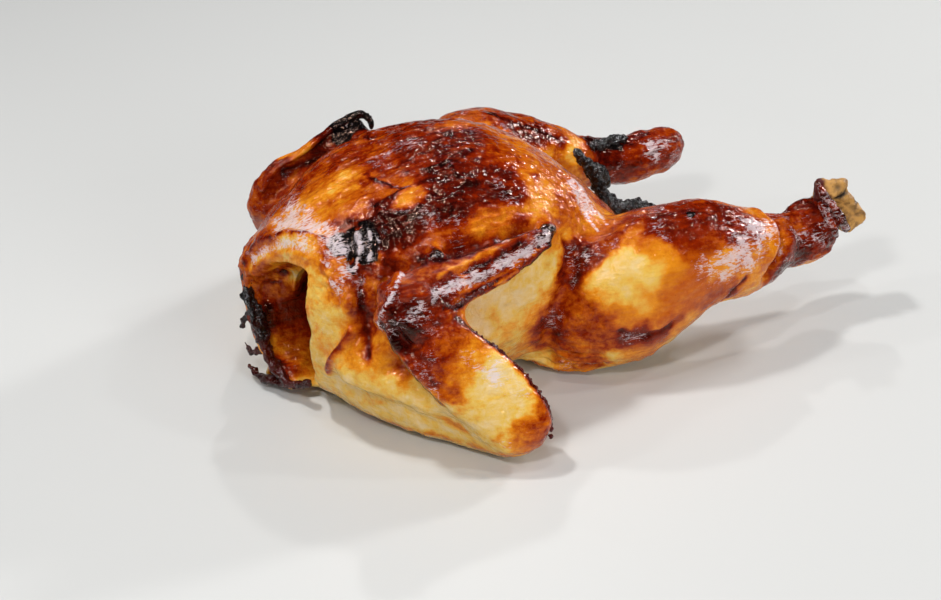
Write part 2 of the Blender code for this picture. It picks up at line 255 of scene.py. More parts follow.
LEG_ROAST = (
    (-27, -53, 20, 6, 0.50), (-18, -60, 15, 7, 0.52), (-19, -53, 6, 5, 0.40), (0, -67, 57, 7, 0.09),
    (9, -73, 55, 6, 0.14), (20, -76, 54, 6, 0.36), (13, -68, 62, 5, 0.34), (3, -74, 43, 5, 0.22),
    (-6, -73, 36, 6, 0.38), (-6, -67, 50, 7, 0.13), (30, -78, 53, 6, 0.50), (28, -75, 60, 5, 0.56),
    (-11, -68, 45, 6, 0.26), (30, -57, 71, 12, 0.72), (24, -60, 70, 7, 0.74), (34, -70, 66, 7, 0.68),
    (40, -75, 59, 5, 0.56), (18, -49, 70, 6, 0.60), (31, -46, 70, 8, 0.60), (45, -62, 69, 8, 0.72),
    (9, -59, 67, 5, 0.40), (-2, -57, 64, 4, 0.62), (-10, -58, 58, 4, 0.64), (44, -79, 51, 8, 0.30),
    (40, -80, 42, 5, 0.52), (55, -78, 50, 6, 0.40), (20, -79, 42, 5, 0.50), (63, -71, 61, 7, 0.66),
    (55, -69, 65, 7, 0.74), (81, -68, 53, 5, 0.46), (70, -76, 50, 6, 0.38), (36, -79, 37, 7, 0.52),
    (52, -77, 36, 4, 0.74), (58, -78, 43, 6, 0.34), (64, -74, 36, 6, 0.36), (-13, -68, 30, 8, 0.58),
    (0, -75, 26, 6, 0.74), (10, -76, 24, 6, 0.70), (19, -78, 30, 4, 0.56), (6, -77, 41, 5, 0.26),
    (20, -79, 42, 6, 0.44), (12, -78, 34, 5, 0.40), (-20, -62, 38, 6, 0.50), (30, -76, 26, 6, 0.34),
    (-13, -60, 9, 5, 0.56), (-2, -66, 8, 6, 0.22), (8, -73, 15, 7, 0.44), (88, -60, 45, 7, 0.66),
    (98, -60, 52, 5, 0.50), (103, -57, 48, 9, 0.72), (112, -60, 46, 10, 0.74), (120, -60, 46, 8, 0.80),
    (84, -68, 33, 7, 0.80), (92, -66, 36, 7, 0.78), (78, -70, 30, 5, 0.60), (45, -45, 50, 14, 0.55),
    (75, -45, 45, 10, 0.55),
)
FAR_ROAST = (
    (-12, 60, 82, 10, 0.56), (8, 62, 80, 9, 0.58), (30, 60, 72, 9, 0.60), (16, 50, 74, 6, 0.76),
    (27, 48, 68, 6, 0.78), (38, 45, 62, 4, 0.62), (47, 42, 55, 5, 0.26), (62, 46, 54, 5, 0.95),
    (75, 50, 54, 6, 0.72), (64, 40, 47, 7, 0.82), (70, 39, 43, 7, 0.70), (53, 41, 52, 4, 0.55),
    (79, 46, 50, 6, 0.70), (100, 46, 54, 8, 0.66), (85, 37, 47, 7, 0.66), (99, 36, 47, 8, 0.68),
    (0, 74, 50, 16, 0.34), (30, 76, 45, 14, 0.44), (60, 66, 45, 10, 0.56), (-112, 58, 62, 7, 0.56),
    (-111, 62, 72, 5, 0.60), (-103, 61, 77, 5, 0.70), (-97, 60, 79, 3.5, 0.28), (-90, 59, 83, 4, 0.34),
    (-83, 58, 87, 5, 0.86), (-76, 57, 91, 5, 0.94), (-64, 56, 92, 6, 1.00), (-107, 50, 74, 5, 0.72),
    (-92, 46, 85, 4, 0.78), (-100, 76, 50, 9, 0.62), (-88, 90, 30, 10, 0.20), (-78, 98, 18, 9, 0.42),
    (-90, 76, 25, 10, 0.14), (-60, 56, 45, 14, 0.10), (-25, 56, 40, 8, 0.50),
)
SPOTS = BREAST_ROAST + NECK_ROAST + WING_ROAST + SIDE_ROAST + LEG_ROAST + FAR_ROAST

# Where the far wing's blade lies against the breast: a crease, and a line painted near black as the blade's
# shadow.
FAR_WING_CREASE = (
    (-100, 57, 76), (-96, 56, 78), (-86, 53, 83), (-78, 48, 88), (-72, 38, 93), (-70, 32, 95),
)
# Each line over the skin has how far it is roasted and its half width.
ROAST_LINES = (
    (((-138, 23, 56), (-136, 22, 61), (-134, 16, 69), (-131, 9, 73), (-128, 3, 77), (-122, -10, 80),
      (-119, -17, 80)), 0.78, 0.9),
    (((-137, 19, 55), (-134, 13, 63), (-131, 4, 70), (-128, -6, 74), (-124, -16, 77)), 0.26, 1.8),
    (((-136, 21, 53), (-134, 15, 60), (-131, 6, 68), (-128, -5, 73), (-125, -14, 75)), 0.66, 0.6),
    (((-127, 14, 54), (-125, 4, 62), (-123, -8, 66), (-123, -16, 64)), 0.62, 2.6),
    (((-127, 15, 46), (-125, 12, 52)), 0.95, 1.8),
    (((-124, -2, 50), (-124, -12, 52), (-124, -18, 50)), 0.86, 1.3),
    (((-115, -31, 75), (-114, -37, 71), (-116, -42, 65), (-117, -46, 56), (-118, -50, 48),
      (-120, -53, 42)), 0.80, 1.7),
    (((-104, -36, 78), (-109, -40, 71), (-113, -45, 62)), 0.52, 1.8),
    (((-128, -33, 28), (-128, -39, 37), (-126, -42, 43), (-123, -43, 49)), 0.70, 1.6),
    (((-122, -66, 64), (-120, -69, 57), (-115, -72, 48), (-110, -76, 41), (-106, -80, 35),
      (-102, -84, 31)), 0.88, 2.2),
    (((-111, -73, 62), (-106, -79, 52), (-102, -83, 44)), 0.84, 2.2),
    (((-102, -52, 78), (-90, -57, 79), (-80, -56, 80), (-68, -55, 80), (-54, -55, 80), (-34, -56, 81)),
      0.93, 1.4),
    (((-93, -64, 77), (-83, -62, 78), (-75, -61, 78), (-65, -60, 79), (-57, -59, 80)), 0.34, 0.8),
    (((-92, -67, 75), (-83, -65, 76), (-75, -64, 76), (-65, -63, 77), (-50, -60, 79)), 0.88, 0.7),
    (((-85, -69, 70), (-77, -68, 71), (-70, -68, 71), (-59, -66, 72), (-47, -63, 74), (-38, -61, 76)),
      0.50, 1.0),
    (((-96, -74, 68), (-88, -72, 68), (-77, -69, 69), (-65, -67, 70), (-55, -65, 71), (-43, -62, 74)),
      0.86, 0.6),
    (((-93, -75, 66), (-83, -71, 66), (-75, -70, 67), (-65, -68, 67), (-55, -66, 69), (-43, -62, 72),
      (-34, -58, 76)), 0.95, 0.9),
    (((-110, -78, 50), (-106, -83, 42), (-102, -87, 36)), 0.84, 0.9),
    (((-114, -74, 54), (-110, -78, 44), (-106, -82, 37)), 0.80, 0.8),
    (((-108, -78, 53), (-104, -83, 46), (-99, -87, 40)), 0.74, 0.8),
    (((-90, -77, 64), (-87, -80, 59), (-79, -84, 52), (-72, -92, 44), (-66, -98, 35), (-62, -103, 25),
      (-63, -107, 14)), 0.86, 2.3),
    (((-108, -16, 85), (-104, -20, 86), (-104, -26, 84), (-106, -32, 80), (-109, -37, 76)), 0.97, 1.0),
    (((-101, -24, 87), (-100, -30, 86), (-101, -36, 81)), 0.93, 1.1),
    (((-97, -22, 89), (-95, -29, 88), (-96, -36, 84)), 0.90, 1.0),
    (((-20, -49, 68), (-18, -51, 62), (-19, -53, 57), (-22, -55, 51), (-26, -56, 43)), 0.66, 1.8),
    (((-10, -51, 63), (-3, -54, 64), (5, -55, 67), (15, -54, 71)), 0.62, 1.4),
    (((48, -73, 30), (52, -77, 36), (57, -78, 41)), 0.86, 1.1),
    (((-6, -73, 30), (-1, -75, 26), (5, -76, 25), (12, -77, 26), (18, -77, 28)), 0.80, 1.3),
    (((-33, -41, 8), (-28, -43, 6), (-21, -48, 4)), 0.50, 1.2),
    (((-40, -48, 12), (-28, -50, 10), (-18, -58, 9), (-6, -66, 9)), 0.66, 1.3),
    (((-38, -45, 7), (-27, -47, 5), (-16, -56, 5)), 0.60, 0.8),
    (((-89, 2, 95), (-89, -6, 95), (-86, -13, 95), (-83, -18, 95)), 0.93, 1.0),
    (((-90, -29, 91), (-88, -34, 90), (-82, -32, 93)), 0.94, 1.2),
    (((-60, -17, 100), (-60, -22, 99), (-60, -27, 98), (-58, -32, 96)), 0.94, 1.0),
    (((-70, -14, 99), (-64, -16, 100), (-56, -17, 100), (-46, -14, 101)), 0.93, 1.1),
    (((-94, -19, 91), (-87, -19, 93), (-80, -19, 95)), 0.88, 1.0),
    (((-92, -47, 78), (-81, -54, 80), (-68, -54, 79), (-54, -53, 80), (-40, -54, 81)), 0.90, 1.6),
    # Painted shadow: the breast painted near black along the far wing's blade.
    (FAR_WING_CREASE, 0.98, 2.4),
    (((5, 56, 80), (16, 51, 75), (27, 50, 69), (38, 46, 62)), 0.90, 1.6),
    (((-6, 50, 82), (6, 46, 78), (20, 42, 72), (34, 38, 64)), 0.44, 1.8),
    (((84, -56, 57), (84, -62, 56), (83, -68, 52), (80, -73, 46), (76, -75, 41)), 0.92, 2.0),
    (((124, -66, 52), (121, -64, 56), (120, -56, 59), (120, -48, 56)), 0.92, 1.6),
    (((-122, -34, 5), (-112, -52, 5), (-103, -67, 6), (-95, -80, 5), (-86, -95, 6), (-78, -104, 7)),
      0.42, 2.6),
    (((-112, -58, 33), (-106, -66, 27), (-100, -76, 20), (-92, -86, 14)), 0.34, 2.2),
)

# Each spot is x, y, z, radius and how burnt it is there.
BURNT_SPOTS = (
    (-112, -25, 81, 6, 1.0), (-106, -29, 82, 6, 1.0), (-108, -34, 77, 4, 0.9), (-116, -33, 73, 3, 0.9),
    (-116, -22, 80, 5.5, 0.9), (-104, -24, 86, 4, 0.6), (-31, -57, 78, 4.5, 1.2),
    (-87, -54, 83, 3.5, 1.2), (-64, 56, 92, 6, 1.3), (-74, 52, 89, 6, 1.0), (66, 46, 56, 5, 1.2),
    (72, 44, 50, 4, 1.0), (37, -62, 71, 2.6, 1.1), (-95, -19, 91, 2.2, 0.8), (-63, -17, 100, 2.6, 0.7),
    (-84, 56, 87, 4, 0.75), (-116, -73, 60, 3, 0.7), (-104, -40, 76, 2.5, 0.5), (-134, 12, 28, 4, 0.8),
    (-133, 2, 14, 3.5, 0.6), (-110, -49, 78, 3.5, 0.5), (-98, -54, 79, 3, 0.9), (-89, -99, 21, 2.2, 0.5),
    (-84, -102, 23, 1.6, 0.45),
)
# Each spot is x, y, z, radius and how even the browning is there.
CALM_SPOTS = (
    (28, -74, 50, 26, 1.0), (0, -68, 42, 20, 0.6), (-62, -55, 45, 12, 0.5), (-118, -45, 30, 12, 0.5),
)
# Each spot is x, y, z, radius and how strong the painted highlight is there.
PAINTED_SHEEN_SPOTS = (
    (-120, 6, 81, 7, 1.2), (-122, 16, 78, 6, 1.0), (-121, -4, 80, 6, 1.0), (-127, 8, 77, 4.5, 0.8),
    (-116, -12, 82, 5, 0.9), (-115, 20, 81, 6, 0.6), (-111, 30, 80, 6, 0.5), (-116, -32, 74, 3.5, 1.2),
    (-122, -34, 67, 4, 0.8), (-119, -32, 72, 3, 0.5), (-3, -36, 75, 6, 1.1), (0, -26, 79, 5, 0.9),
    (2, -34, 72, 5, 0.9), (-1, -28, 79, 6, 0.6), (-108, -73, 68, 5, 0.4), (-129, -30, 50, 7, 0.42),
    (-130, -29, 35, 7, 0.40), (-120, -45, 15, 8, 0.3), (-104, -73, 69, 5, 0.30), (36, -62, 71, 4, 0.7),
    (4, -22, 77, 5, 0.9), (6, -31, 72, 4, 0.8), (-20, -54, 8, 6, 0.6), (-34, -46, 9, 5, 0.5),
    (63, -71, 61, 8, 0.9), (72, -70, 57, 7, 0.9), (80, -69, 53, 5, 0.8), (78, -73, 47, 5, 0.6),
    (88, 34, 46, 5, 0.6), (94, 36, 52, 5, 0.7), (-106, -72, 70, 5, 0.5), (50, -77, 54, 7, 0.45),
    (60, -76, 48, 7, 0.40), (52, -74, 61, 6, 0.5), (42, -80, 50, 9, 0.72), (31, -79, 53, 6, 0.55),
    (57, -77, 50, 7, 0.6), (-12, -55, 61, 5, 0.6), (-2, -56, 65, 4, 0.5), (-82, -94, 44, 7, 1.0),
    (-92, -88, 50, 6, 0.45), (-74, -101, 35, 5, 0.5), (-84, -104, 15, 4, 0.5), (-110, -79, 48, 5, 0.45),
    (-106, -84, 39, 5, 0.5), (-102, -78, 62, 5, 0.35), (14, 49, 75, 2, 0.5), (40, 44, 62, 2, 0.5),
    (84, 38, 50, 3, 0.5), (92, -67, 48, 4.5, 0.85), (100, -67, 44, 4.5, 0.85), (109, -66, 46, 4, 0.75),
    (80, -73, 46, 3.5, 0.7), (104, -61, 52, 3, 0.6), (86, 37, 50, 4, 0.8), (104, 38, 52, 4, 0.6),
    (-135, 20, 58, 5, 0.3),
)


def roasting(points):
    """How far each point is roasted: the spots' values, mixed by how near each spot is, then the lines; one
    line is a painted shadow.
    """
    moved = warped(points, 9.0, 2.6, 31)
    moved = warped(moved, 2.8, 1.1, 37)
    height = np.clip(points[:, 2] / 90.0, 0, 1)
    plain = 0.12 + 0.46 * height + 0.22 * noise(points, 16.0, 5, 3)
    value, weight = 0.02 * plain, np.full(len(points), 0.02)
    for x, y, z, radius, roast in SPOTS:
        share = near(moved, (x, y, z), radius) ** 1.5
        value += share * roast
        weight += share
    value = value / weight
    moved = warped(points, 2.4, 0.6, 41)
    for path, roast, width in ROAST_LINES:
        share = along(moved, path, width)
        value += share * (roast - value)
    return np.clip(value + 0.05 * noise(points, 4.0, 11, 3), 0, 1)


# Each line of painted highlight has its strength and half width.
PAINTED_SHEEN_LINES = (
    (((-1, -26, 79), (-3, -36, 75), (-3, -42, 69), (-2, -46, 66)), 1.1, 1.1),
    (((3, -30, 76), (2, -38, 72), (2, -44, 68)), 1.0, 0.9),
    (((6, -37, 68), (4, -45, 67)), 1.0, 0.9),
    (((-105, -58, 80), (-112, -64, 79), (-116, -67, 75), (-120, -67, 71), (-121, -64, 64),
      (-118, -63, 59)), 1.2, 1.1),
    (((-136, 17, 60), (-134, 11, 67), (-130, 1, 73), (-127, -8, 76), (-124, -16, 77)), 0.85, 2.6),
    (((-121, -35, 68), (-122, -31, 71), (-123, -26, 74), (-123, -20, 76)), 0.8, 0.8),
    (((-99, -70, 73), (-94, -68, 73), (-86, -67, 73), (-78, -66, 73), (-68, -65, 74), (-58, -64, 75),
      (-46, -62, 77), (-36, -59, 79)), 1.35, 2.8),
    (((-90, -72, 68), (-83, -70, 68), (-75, -69, 69), (-65, -67, 69), (-55, -65, 71), (-45, -63, 73)),
      0.8, 0.6),
    (((-129, -22, 74), (-126, -29, 70), (-121, -36, 66)), 0.9, 0.7),
    (((-127, -19, 76), (-123, -28, 73), (-119, -34, 69)), 0.9, 0.6),
    (((-130, -27, 68), (-126, -34, 64), (-122, -40, 59)), 0.7, 0.6),
    (((50, -66, 66), (62, -68, 62), (74, -68, 57), (80, -67, 53)), 1.0, 1.6),
)
# Patches of painted highlight on the shoulder, each its middle and radius.
PAINTED_HIGHLIGHT_PATCHES = (((-117, -20, 81), 5.5), ((-118, -26, 78), 4.5))
POCKET = (-116, -2, 34)  # the middle of the neck pocket, which gets no painted glints


def filmed(points, roast):
    """How strong the painted highlight is: where it's listed, and in painted glints on all dark skin."""
    moved = warped(points, 2.4, 0.5, 43)
    film = spotted(points, PAINTED_SHEEN_SPOTS, 95)
    for path, sheen_strength, width in PAINTED_SHEEN_LINES:
        film += sheen_strength * along(moved, path, width)
    pale, dark = shoulder_bands(points)
    film *= 1 - 0.85 * near(points, SHOULDER, 10)
    film *= 0.9 + 0.5 * noise(points, 3.6, 99, 2)
    # Painted glints: pale flecks over the dark skin, none in the neck pocket.
    painted_glints = np.clip(1.3 * noise(points, 9.0, 97, 2) + 0.1, 0, 1) * (1 - near(points, POCKET, 20))
    film = np.maximum(film, 0.46 * painted_glints * np.clip((roast - 0.42) / 0.24, 0, 1))
    patch = sum(near(points, middle, radius) for middle, radius in PAINTED_HIGHLIGHT_PATCHES)
    pale = np.clip(1.2 * pale + patch, 0, 1) * (0.80 + 0.45 * noise(points, 2.2, 63, 2))
    return np.clip((np.clip(film, 0, 1) + pale) * (1 - dark), 0, 1.1)


def shoulder_bands(points):
    """The folds of burnt skin on the shoulder: how near each point is to a fold painted with a highlight and
    to a black one.
    """
    moved = warped(points, 4.0, 0.5, 51)
    shares = []
    for bands in (PAINTED_HIGHLIGHT_BANDS, BLACK_BANDS):
        total = np.zeros(len(points))
        for path, width in bands:
            total += along(moved, path, width)
        shares.append(np.clip(total, 0, 1))
    return shares


def spotted(points, spots, seed):
    """The sum of soft spots with uneven edges."""
    moved = warped(points, 3.2, 1.1, seed)
    total = np.zeros(len(points))
    for x, y, z, radius, value in spots:
        total += value * near(moved, (x, y, z), radius)
    return np.clip(total, 0, 1)


# ------------------------------------------------------------------------------------- folds and wrinkles

# Each fold is a line over the skin, its height (a crease is below zero) and its width.
FOLDS = (
    (((-139, 25, 54), (-136, 22, 61), (-134, 16, 69), (-131, 9, 73), (-128, 3, 77), (-122, -10, 80),
      (-119, -17, 80)), 1.3, 1.7),
    (((-137, 21, 52), (-135, 15, 59), (-132, 5, 67), (-129, -6, 72), (-126, -16, 73)), 1.0, 2.0),
    (((-119, -17, 80), (-120, -24, 77), (-117, -31, 73), (-113, -37, 69)), -0.9, 1.2),
    (((-107, -57, 79), (-113, -63, 77), (-117, -65, 73), (-120, -66, 67)), 1.5, 1.8),
    (((-121, -67, 66), (-119, -70, 63), (-116, -73, 60), (-113, -76, 55)), -3.0, 3.0),
    (((-120, -68, 66), (-117, -72, 57), (-112, -78, 47), (-106, -84, 37), (-101, -89, 33)), 1.3, 2.0),
    (((-124, -64, 62), (-121, -68, 50), (-117, -74, 40), (-110, -80, 30)), -2.2, 3.4),
    (((-115, -31, 75), (-114, -36, 71), (-116, -42, 65), (-117, -46, 56), (-118, -50, 48),
      (-121, -53, 42)), -2.2, 2.6),
    (((-104, -37, 77), (-108, -41, 71), (-113, -46, 62), (-117, -52, 54)), 1.2, 2.4),
    (((-122, -43, 50), (-127, -42, 42), (-129, -34, 30)), 1.3, 2.0),
    (((-112, -68, 75), (-100, -71, 74), (-84, -67, 75), (-67, -64, 77), (-52, -62, 78), (-36, -59, 80)),
      1.4, 1.5),
    (((-92, -66, 76), (-83, -65, 76), (-75, -64, 76), (-65, -63, 77), (-52, -61, 79)), -1.3, 1.0),
    (((-96, -64, 77), (-83, -62, 78), (-75, -61, 78), (-65, -60, 79), (-54, -59, 80), (-40, -57, 81)),
      1.4, 1.1),
    (((-97, -54, 79), (-80, -55, 79), (-66, -54, 79), (-50, -53, 80), (-38, -53, 80)), -1.8, 2.0),
    (((-94, -72, 71), (-83, -69, 71), (-75, -68, 72), (-65, -67, 72), (-54, -65, 74), (-42, -62, 76)),
      -1.1, 0.9),
    (((-94, -76, 66), (-81, -72, 66), (-73, -70, 67), (-61, -68, 68), (-48, -65, 71), (-36, -60, 75)),
      1.2, 1.5),
    (((-20, -49, 68), (-18, -51, 62), (-19, -53, 57), (-22, -55, 51), (-26, -56, 43), (-29, -55, 34),
      (-30, -52, 22), (-28, -49, 12)), -2.2, 3.6),
    (((-16, -49, 66), (-10, -52, 64), (-3, -54, 65), (5, -55, 68), (15, -54, 71)), 1.3, 2.2),
    (((-14, -45, 66), (-6, -49, 66), (3, -50, 68)), -1.6, 2.0),
    (((48, -74, 30), (52, -78, 36), (57, -79, 42)), -1.1, 1.3),
    (((-6, -73, 30), (-1, -75, 26), (5, -76, 25), (12, -77, 27), (18, -78, 28)), -1.1, 1.4),
    (((-33, -41, 8), (-28, -44, 6), (-21, -49, 4), (-10, -58, 4)), 1.2, 2.0),
    (((-34, -44, 13), (-26, -48, 11), (-18, -55, 9), (-8, -63, 8)), -1.4, 1.8),
    (((-100, -24, 88), (-99, -30, 87), (-99, -35, 84), (-101, -38, 79)), 1.3, 1.3),
    (((-96, -22, 90), (-94, -29, 89), (-94, -35, 87), (-96, -39, 82)), 0.9, 1.2),
    (((-89, 2, 96), (-89, -6, 96), (-86, -13, 96), (-83, -19, 96)), 0.9, 1.1),
    (((-94, -19, 92), (-87, -19, 94), (-80, -20, 96)), 0.8, 1.1),
    (((-60, -17, 101), (-60, -22, 100), (-60, -27, 98), (-58, -32, 97)), 0.8, 1.0),
    (((-70, -14, 100), (-64, -16, 101), (-56, -16, 101), (-44, -12, 102)), 0.7, 1.2),
    (((84, -56, 57), (84, -61, 56), (84, -67, 52), (81, -73, 47), (77, -75, 42), (72, -74, 36)),
      -4.0, 3.6),
    (((78, -58, 58), (78, -66, 56), (76, -72, 51), (72, -76, 46)), 1.6, 3.6),
    (FAR_WING_CREASE, -3.0, 2.4),
    (((-111, 62, 70), (-104, 62, 77), (-94, 61, 80), (-84, 59, 86), (-74, 57, 91), (-64, 54, 93)),
      1.4, 2.2),
    (((-101, -43, 74), (-94, -51, 79), (-79, -51, 79), (-65, -51, 80), (-52, -52, 81), (-38, -51, 81)),
      -2.6, 2.4),
    (((-121, -65, 58), (-117, -65, 48), (-112, -64, 41), (-109, -69, 36), (-106, -75, 30)), -3.0, 3.0),
    (((-123, -62, 66), (-122, -67, 58), (-118, -73, 49), (-113, -78, 41), (-108, -82, 34)), 1.5, 2.0),
    (((-128, -32, 26), (-128, -38, 36), (-126, -42, 43), (-122, -44, 50)), 1.2, 1.8),
)
# Each run of wrinkles is its middle, radius, direction, spacing, drawn-out factor and height.
WRINKLES = (
    ((-4, -37, 75), 11, (0.1, -0.55, -0.80), 2.2, 7, 0.65),
    ((-2, -24, 80), 10, (0.3, -0.6, -0.70), 2.4, 7, 0.4),
    ((-95, -68, 74), 14, (1.0, 0.12, 0.03), 1.9, 6, 0.45),
    ((-65, -64, 76), 14, (1.0, 0.14, 0.08), 1.7, 6, 0.45),
    ((-40, -60, 78), 9, (1.0, 0.16, 0.10), 1.5, 6, 0.4),
    ((62, -70, 61), 15, (0.9, 0.05, -0.42), 2.1, 4, 0.45),
    ((45, -80, 50), 12, (0.5, 0.05, -0.85), 2.0, 3, 0.25),
    ((-136, 21, 52), 14, (0.1, 0.12, 1.0), 2.8, 6, 0.8),
    ((-55, 5, 103), 28, (1.0, -0.25, 0.0), 3.2, 4, 0.42),
    ((-90, 22, 92), 20, (1.0, -0.3, 0.3), 3.0, 4, 0.40),
    ((-60, -38, 92), 22, (1.0, -0.1, 0.05), 2.8, 4, 0.40),
    ((-84, -24, 94), 14, (0.8, 0.5, 0.0), 3.0, 3, 0.35),
    ((-25, -30, 92), 20, (0.8, -0.35, -0.3), 3.0, 5, 0.35),
    ((-120, -34, 68), 8, (0.5, -0.5, -0.7), 1.9, 5, 0.5),
    ((-114, -44, 62), 10, (-0.2, -0.3, -0.9), 2.2, 6, 0.45),
    ((-107, -82, 45), 9, (0.4, -0.35, -0.85), 1.9, 5, 0.4),
    ((-104, -72, 68), 9, (0.5, -0.3, -0.6), 2.3, 2, 0.7),
    ((-12, -56, 62), 8, (0.9, -0.2, 0.3), 2.0, 5, 0.45),
    ((103, -58, 44), 16, (1.0, 0.0, 0.2), 3.4, 3, 1.0),
    ((84, 42, 46), 14, (1.0, -0.1, 0.1), 3.6, 2, 0.8),
    ((100, 42, 46), 10, (1.0, -0.1, 0.1), 3.6, 2, 0.6),
    ((-22, -54, 9), 15, (0.8, -0.6, 0.0), 2.6, 6, 1.1),
    ((-112, 58, 64), 14, (0.4, 0.1, 1.0), 2.2, 5, 0.15),
    ((-124, -30, 69), 8, (0.6, -0.55, -0.5), 1.6, 6, 0.5),
    ((-80, 58, 86), 16, (0.9, -0.1, 0.4), 1.9, 5, 0.2),
    ((-4, 37, 75), 11, (0.1, 0.55, -0.80), 2.2, 7, 0.5),
    ((40, 58, 60), 20, (0.9, -0.2, -0.3), 2.4, 4, 0.35),
)
SHOULDER = (-108, -28, 80)  # the middle of the burnt shoulder
# Its folds painted with pale highlights and the black gaps between them, each a line and its half width.
PAINTED_HIGHLIGHT_BANDS = (
    (((-108, -23, 84), (-109, -28, 82), (-110, -30, 79), (-112, -32, 75), (-115, -33, 72)), 1.3),
    (((-104, -26, 85), (-106, -31, 83), (-107, -34, 80), (-109, -35, 76)), 1.2),
    (((-101, -22, 87), (-100, -28, 86), (-99, -32, 86)), 0.8),
    (((-102, -29, 84), (-102, -32, 82), (-103, -35, 80)), 0.7),
)
BLACK_BANDS = (
    (((-104, -21, 86), (-107, -21, 85), (-110, -22, 82), (-112, -25, 80), (-113, -28, 78),
      (-114, -30, 74)), 1.5),
    (((-105.5, -24.5, 84.5), (-107.5, -29.5, 82.5), (-108.5, -32, 79.5), (-110.5, -33.5, 75)), 1.1),
    (((-102, -25, 86), (-103.5, -29, 84.5), (-105, -34, 81), (-106, -36, 78)), 0.9),
)
PALE_RISE, BLACK_SINK = 1.3, 1.7  # how far the pale folds stand up and the gaps go in

# Each bulge is x, y, z, radius and height; a hollow is below zero.
BULGES = (
    (104, -55, 56, 8, 3.2), (96, -60, 52, 6, 1.5), (116, -64, 46, 5, 1.2), (104, -66, 38, 6, 1.0),
    (-60, -20, 101, 4, 0.8), (-89, -6, 96, 4, 0.7), (-117, 10, 82, 7, 0.6), (-126, -6, 76, 5, 0.8),
    (-98, -80, 55, 8, 0.8), (-112, -74, 56, 4, -1.6), (-40, -55, 30, 8, -0.8), (-112, -64, 40, 6, -2.0),
)


def fold_relief(points):
    """Every fold and crease, and the folds of burnt skin on the shoulder."""
    moved = warped(points, 6.0, 0.8, 51)
    relief = np.zeros(len(points))
    for path, height, width in FOLDS:
        relief += height * along(moved, path, width)
    pale, dark = shoulder_bands(points)
    return relief + PALE_RISE * pale - BLACK_SINK * dark


def wrinkle_relief(points, scale):
    relief = np.zeros(len(points))
    for index, (middle, radius, way, pitch, stretch, height) in enumerate(WRINKLES):
        mask = near(points, middle, radius)
        hit = mask > 0.02
        relief[hit] += mask[hit] * height * grain(points[hit], way, pitch, stretch, 71 + index)
    return scale * relief


def lump_relief(points, height, dark):
    """Soft lumps all over, and blisters where the skin is dark."""
    lumps = height * noise(points, 11.0, 81, 3) + 0.22 * noise(points, 3.4, 83, 2)
    blisters = np.clip(noise(points, 3.0, 85, 2) - 0.25, 0, 1)
    pucker = 1.0 - 2.0 * np.abs(noise(points, 5.2, 87, 2))
    return lumps + (1.1 * blisters + 0.7 * pucker) * np.clip(dark - 0.40, 0, 0.4)


# ------------------------------------------------------------------------------------------ shader groups

STREAK_TURN = 0.2  # how far the streaks turn from the bird's length, in radians
STREAK_SQUEEZE = (0.2, 1.0, 1.0)


def new_group(name, inputs, outputs):
    """A shader node group with these sockets: (name, socket type, default)."""
    group = bpy.data.node_groups.new(name, "ShaderNodeTree")
    for title, kind, default in inputs:
        socket = group.interface.new_socket(title, in_out="INPUT", socket_type=kind)
        if default is not None:
            socket.default_value = default
    for title, kind in outputs:
        group.interface.new_socket(title, in_out="OUTPUT", socket_type=kind)
    start = group.nodes.new("NodeGroupInput")
    end = group.nodes.new("NodeGroupOutput")
    return group, start.outputs, end.inputs


def wire(tree, kind, inputs=None, **settings):
    """A node of that kind with its settings, each input linked or given a value."""
    node = tree.nodes.new(kind)
    for key, value in settings.items():
        setattr(node, key, value)
    for key, value in (inputs or {}).items():
        if isinstance(value, bpy.types.NodeSocket):
            tree.links.new(value, node.inputs[key])
        else:
            node.inputs[key].default_value = value
    return node


def maths(tree, operation, first, second=0.0, clamp=False):
    node = wire(tree, "ShaderNodeMath", {0: first, 1: second}, operation=operation, use_clamp=clamp)
    return node.outputs[0]


def stretch_range(tree, value, low, high, to_low=0.0, to_high=1.0):
    inputs = {"Value": value, "From Min": low, "From Max": high, "To Min": to_low, "To Max": to_high}
    return wire(tree, "ShaderNodeMapRange", inputs).outputs[0]


def mix_colour(tree, share, first, second):
    inputs = {0: share, 6: first, 7: second}
    return wire(tree, "ShaderNodeMix", inputs, data_type="RGBA", blend_type="MIX").outputs[2]


def object_place(tree):
    """Places on the object itself, so that a texture stays with the bird."""
    return wire(tree, "ShaderNodeTexCoord").outputs["Object"]


def object_noise(tree, scale, detail=3.0, roughness=0.55, distortion=0.0):
    inputs = {"Vector": object_place(tree), "Scale": scale, "Detail": detail, "Roughness": roughness,
              "Distortion": distortion}
    return wire(tree, "ShaderNodeTexNoise", inputs).outputs["Fac"]


def uneven_group():
    """Breaks a smooth value up with noise, as fat and glaze do to browning."""
    group, given, out = new_group(
        "uneven_roast",
        (("Value", "NodeSocketFloat", 0.5), ("Amount", "NodeSocketFloat", 0.1),
         ("Scale", "NodeSocketFloat", 300.0)),
        (("Value", "NodeSocketFloat"),),
    )
    broad = object_noise(group, given["Scale"], 5.0, 0.62, 0.4)
    swing = maths(group, "MULTIPLY", maths(group, "SUBTRACT", broad, 0.5), given["Amount"])
    group.links.new(maths(group, "ADD", given["Value"], swing, clamp=True), out["Value"])
    return group


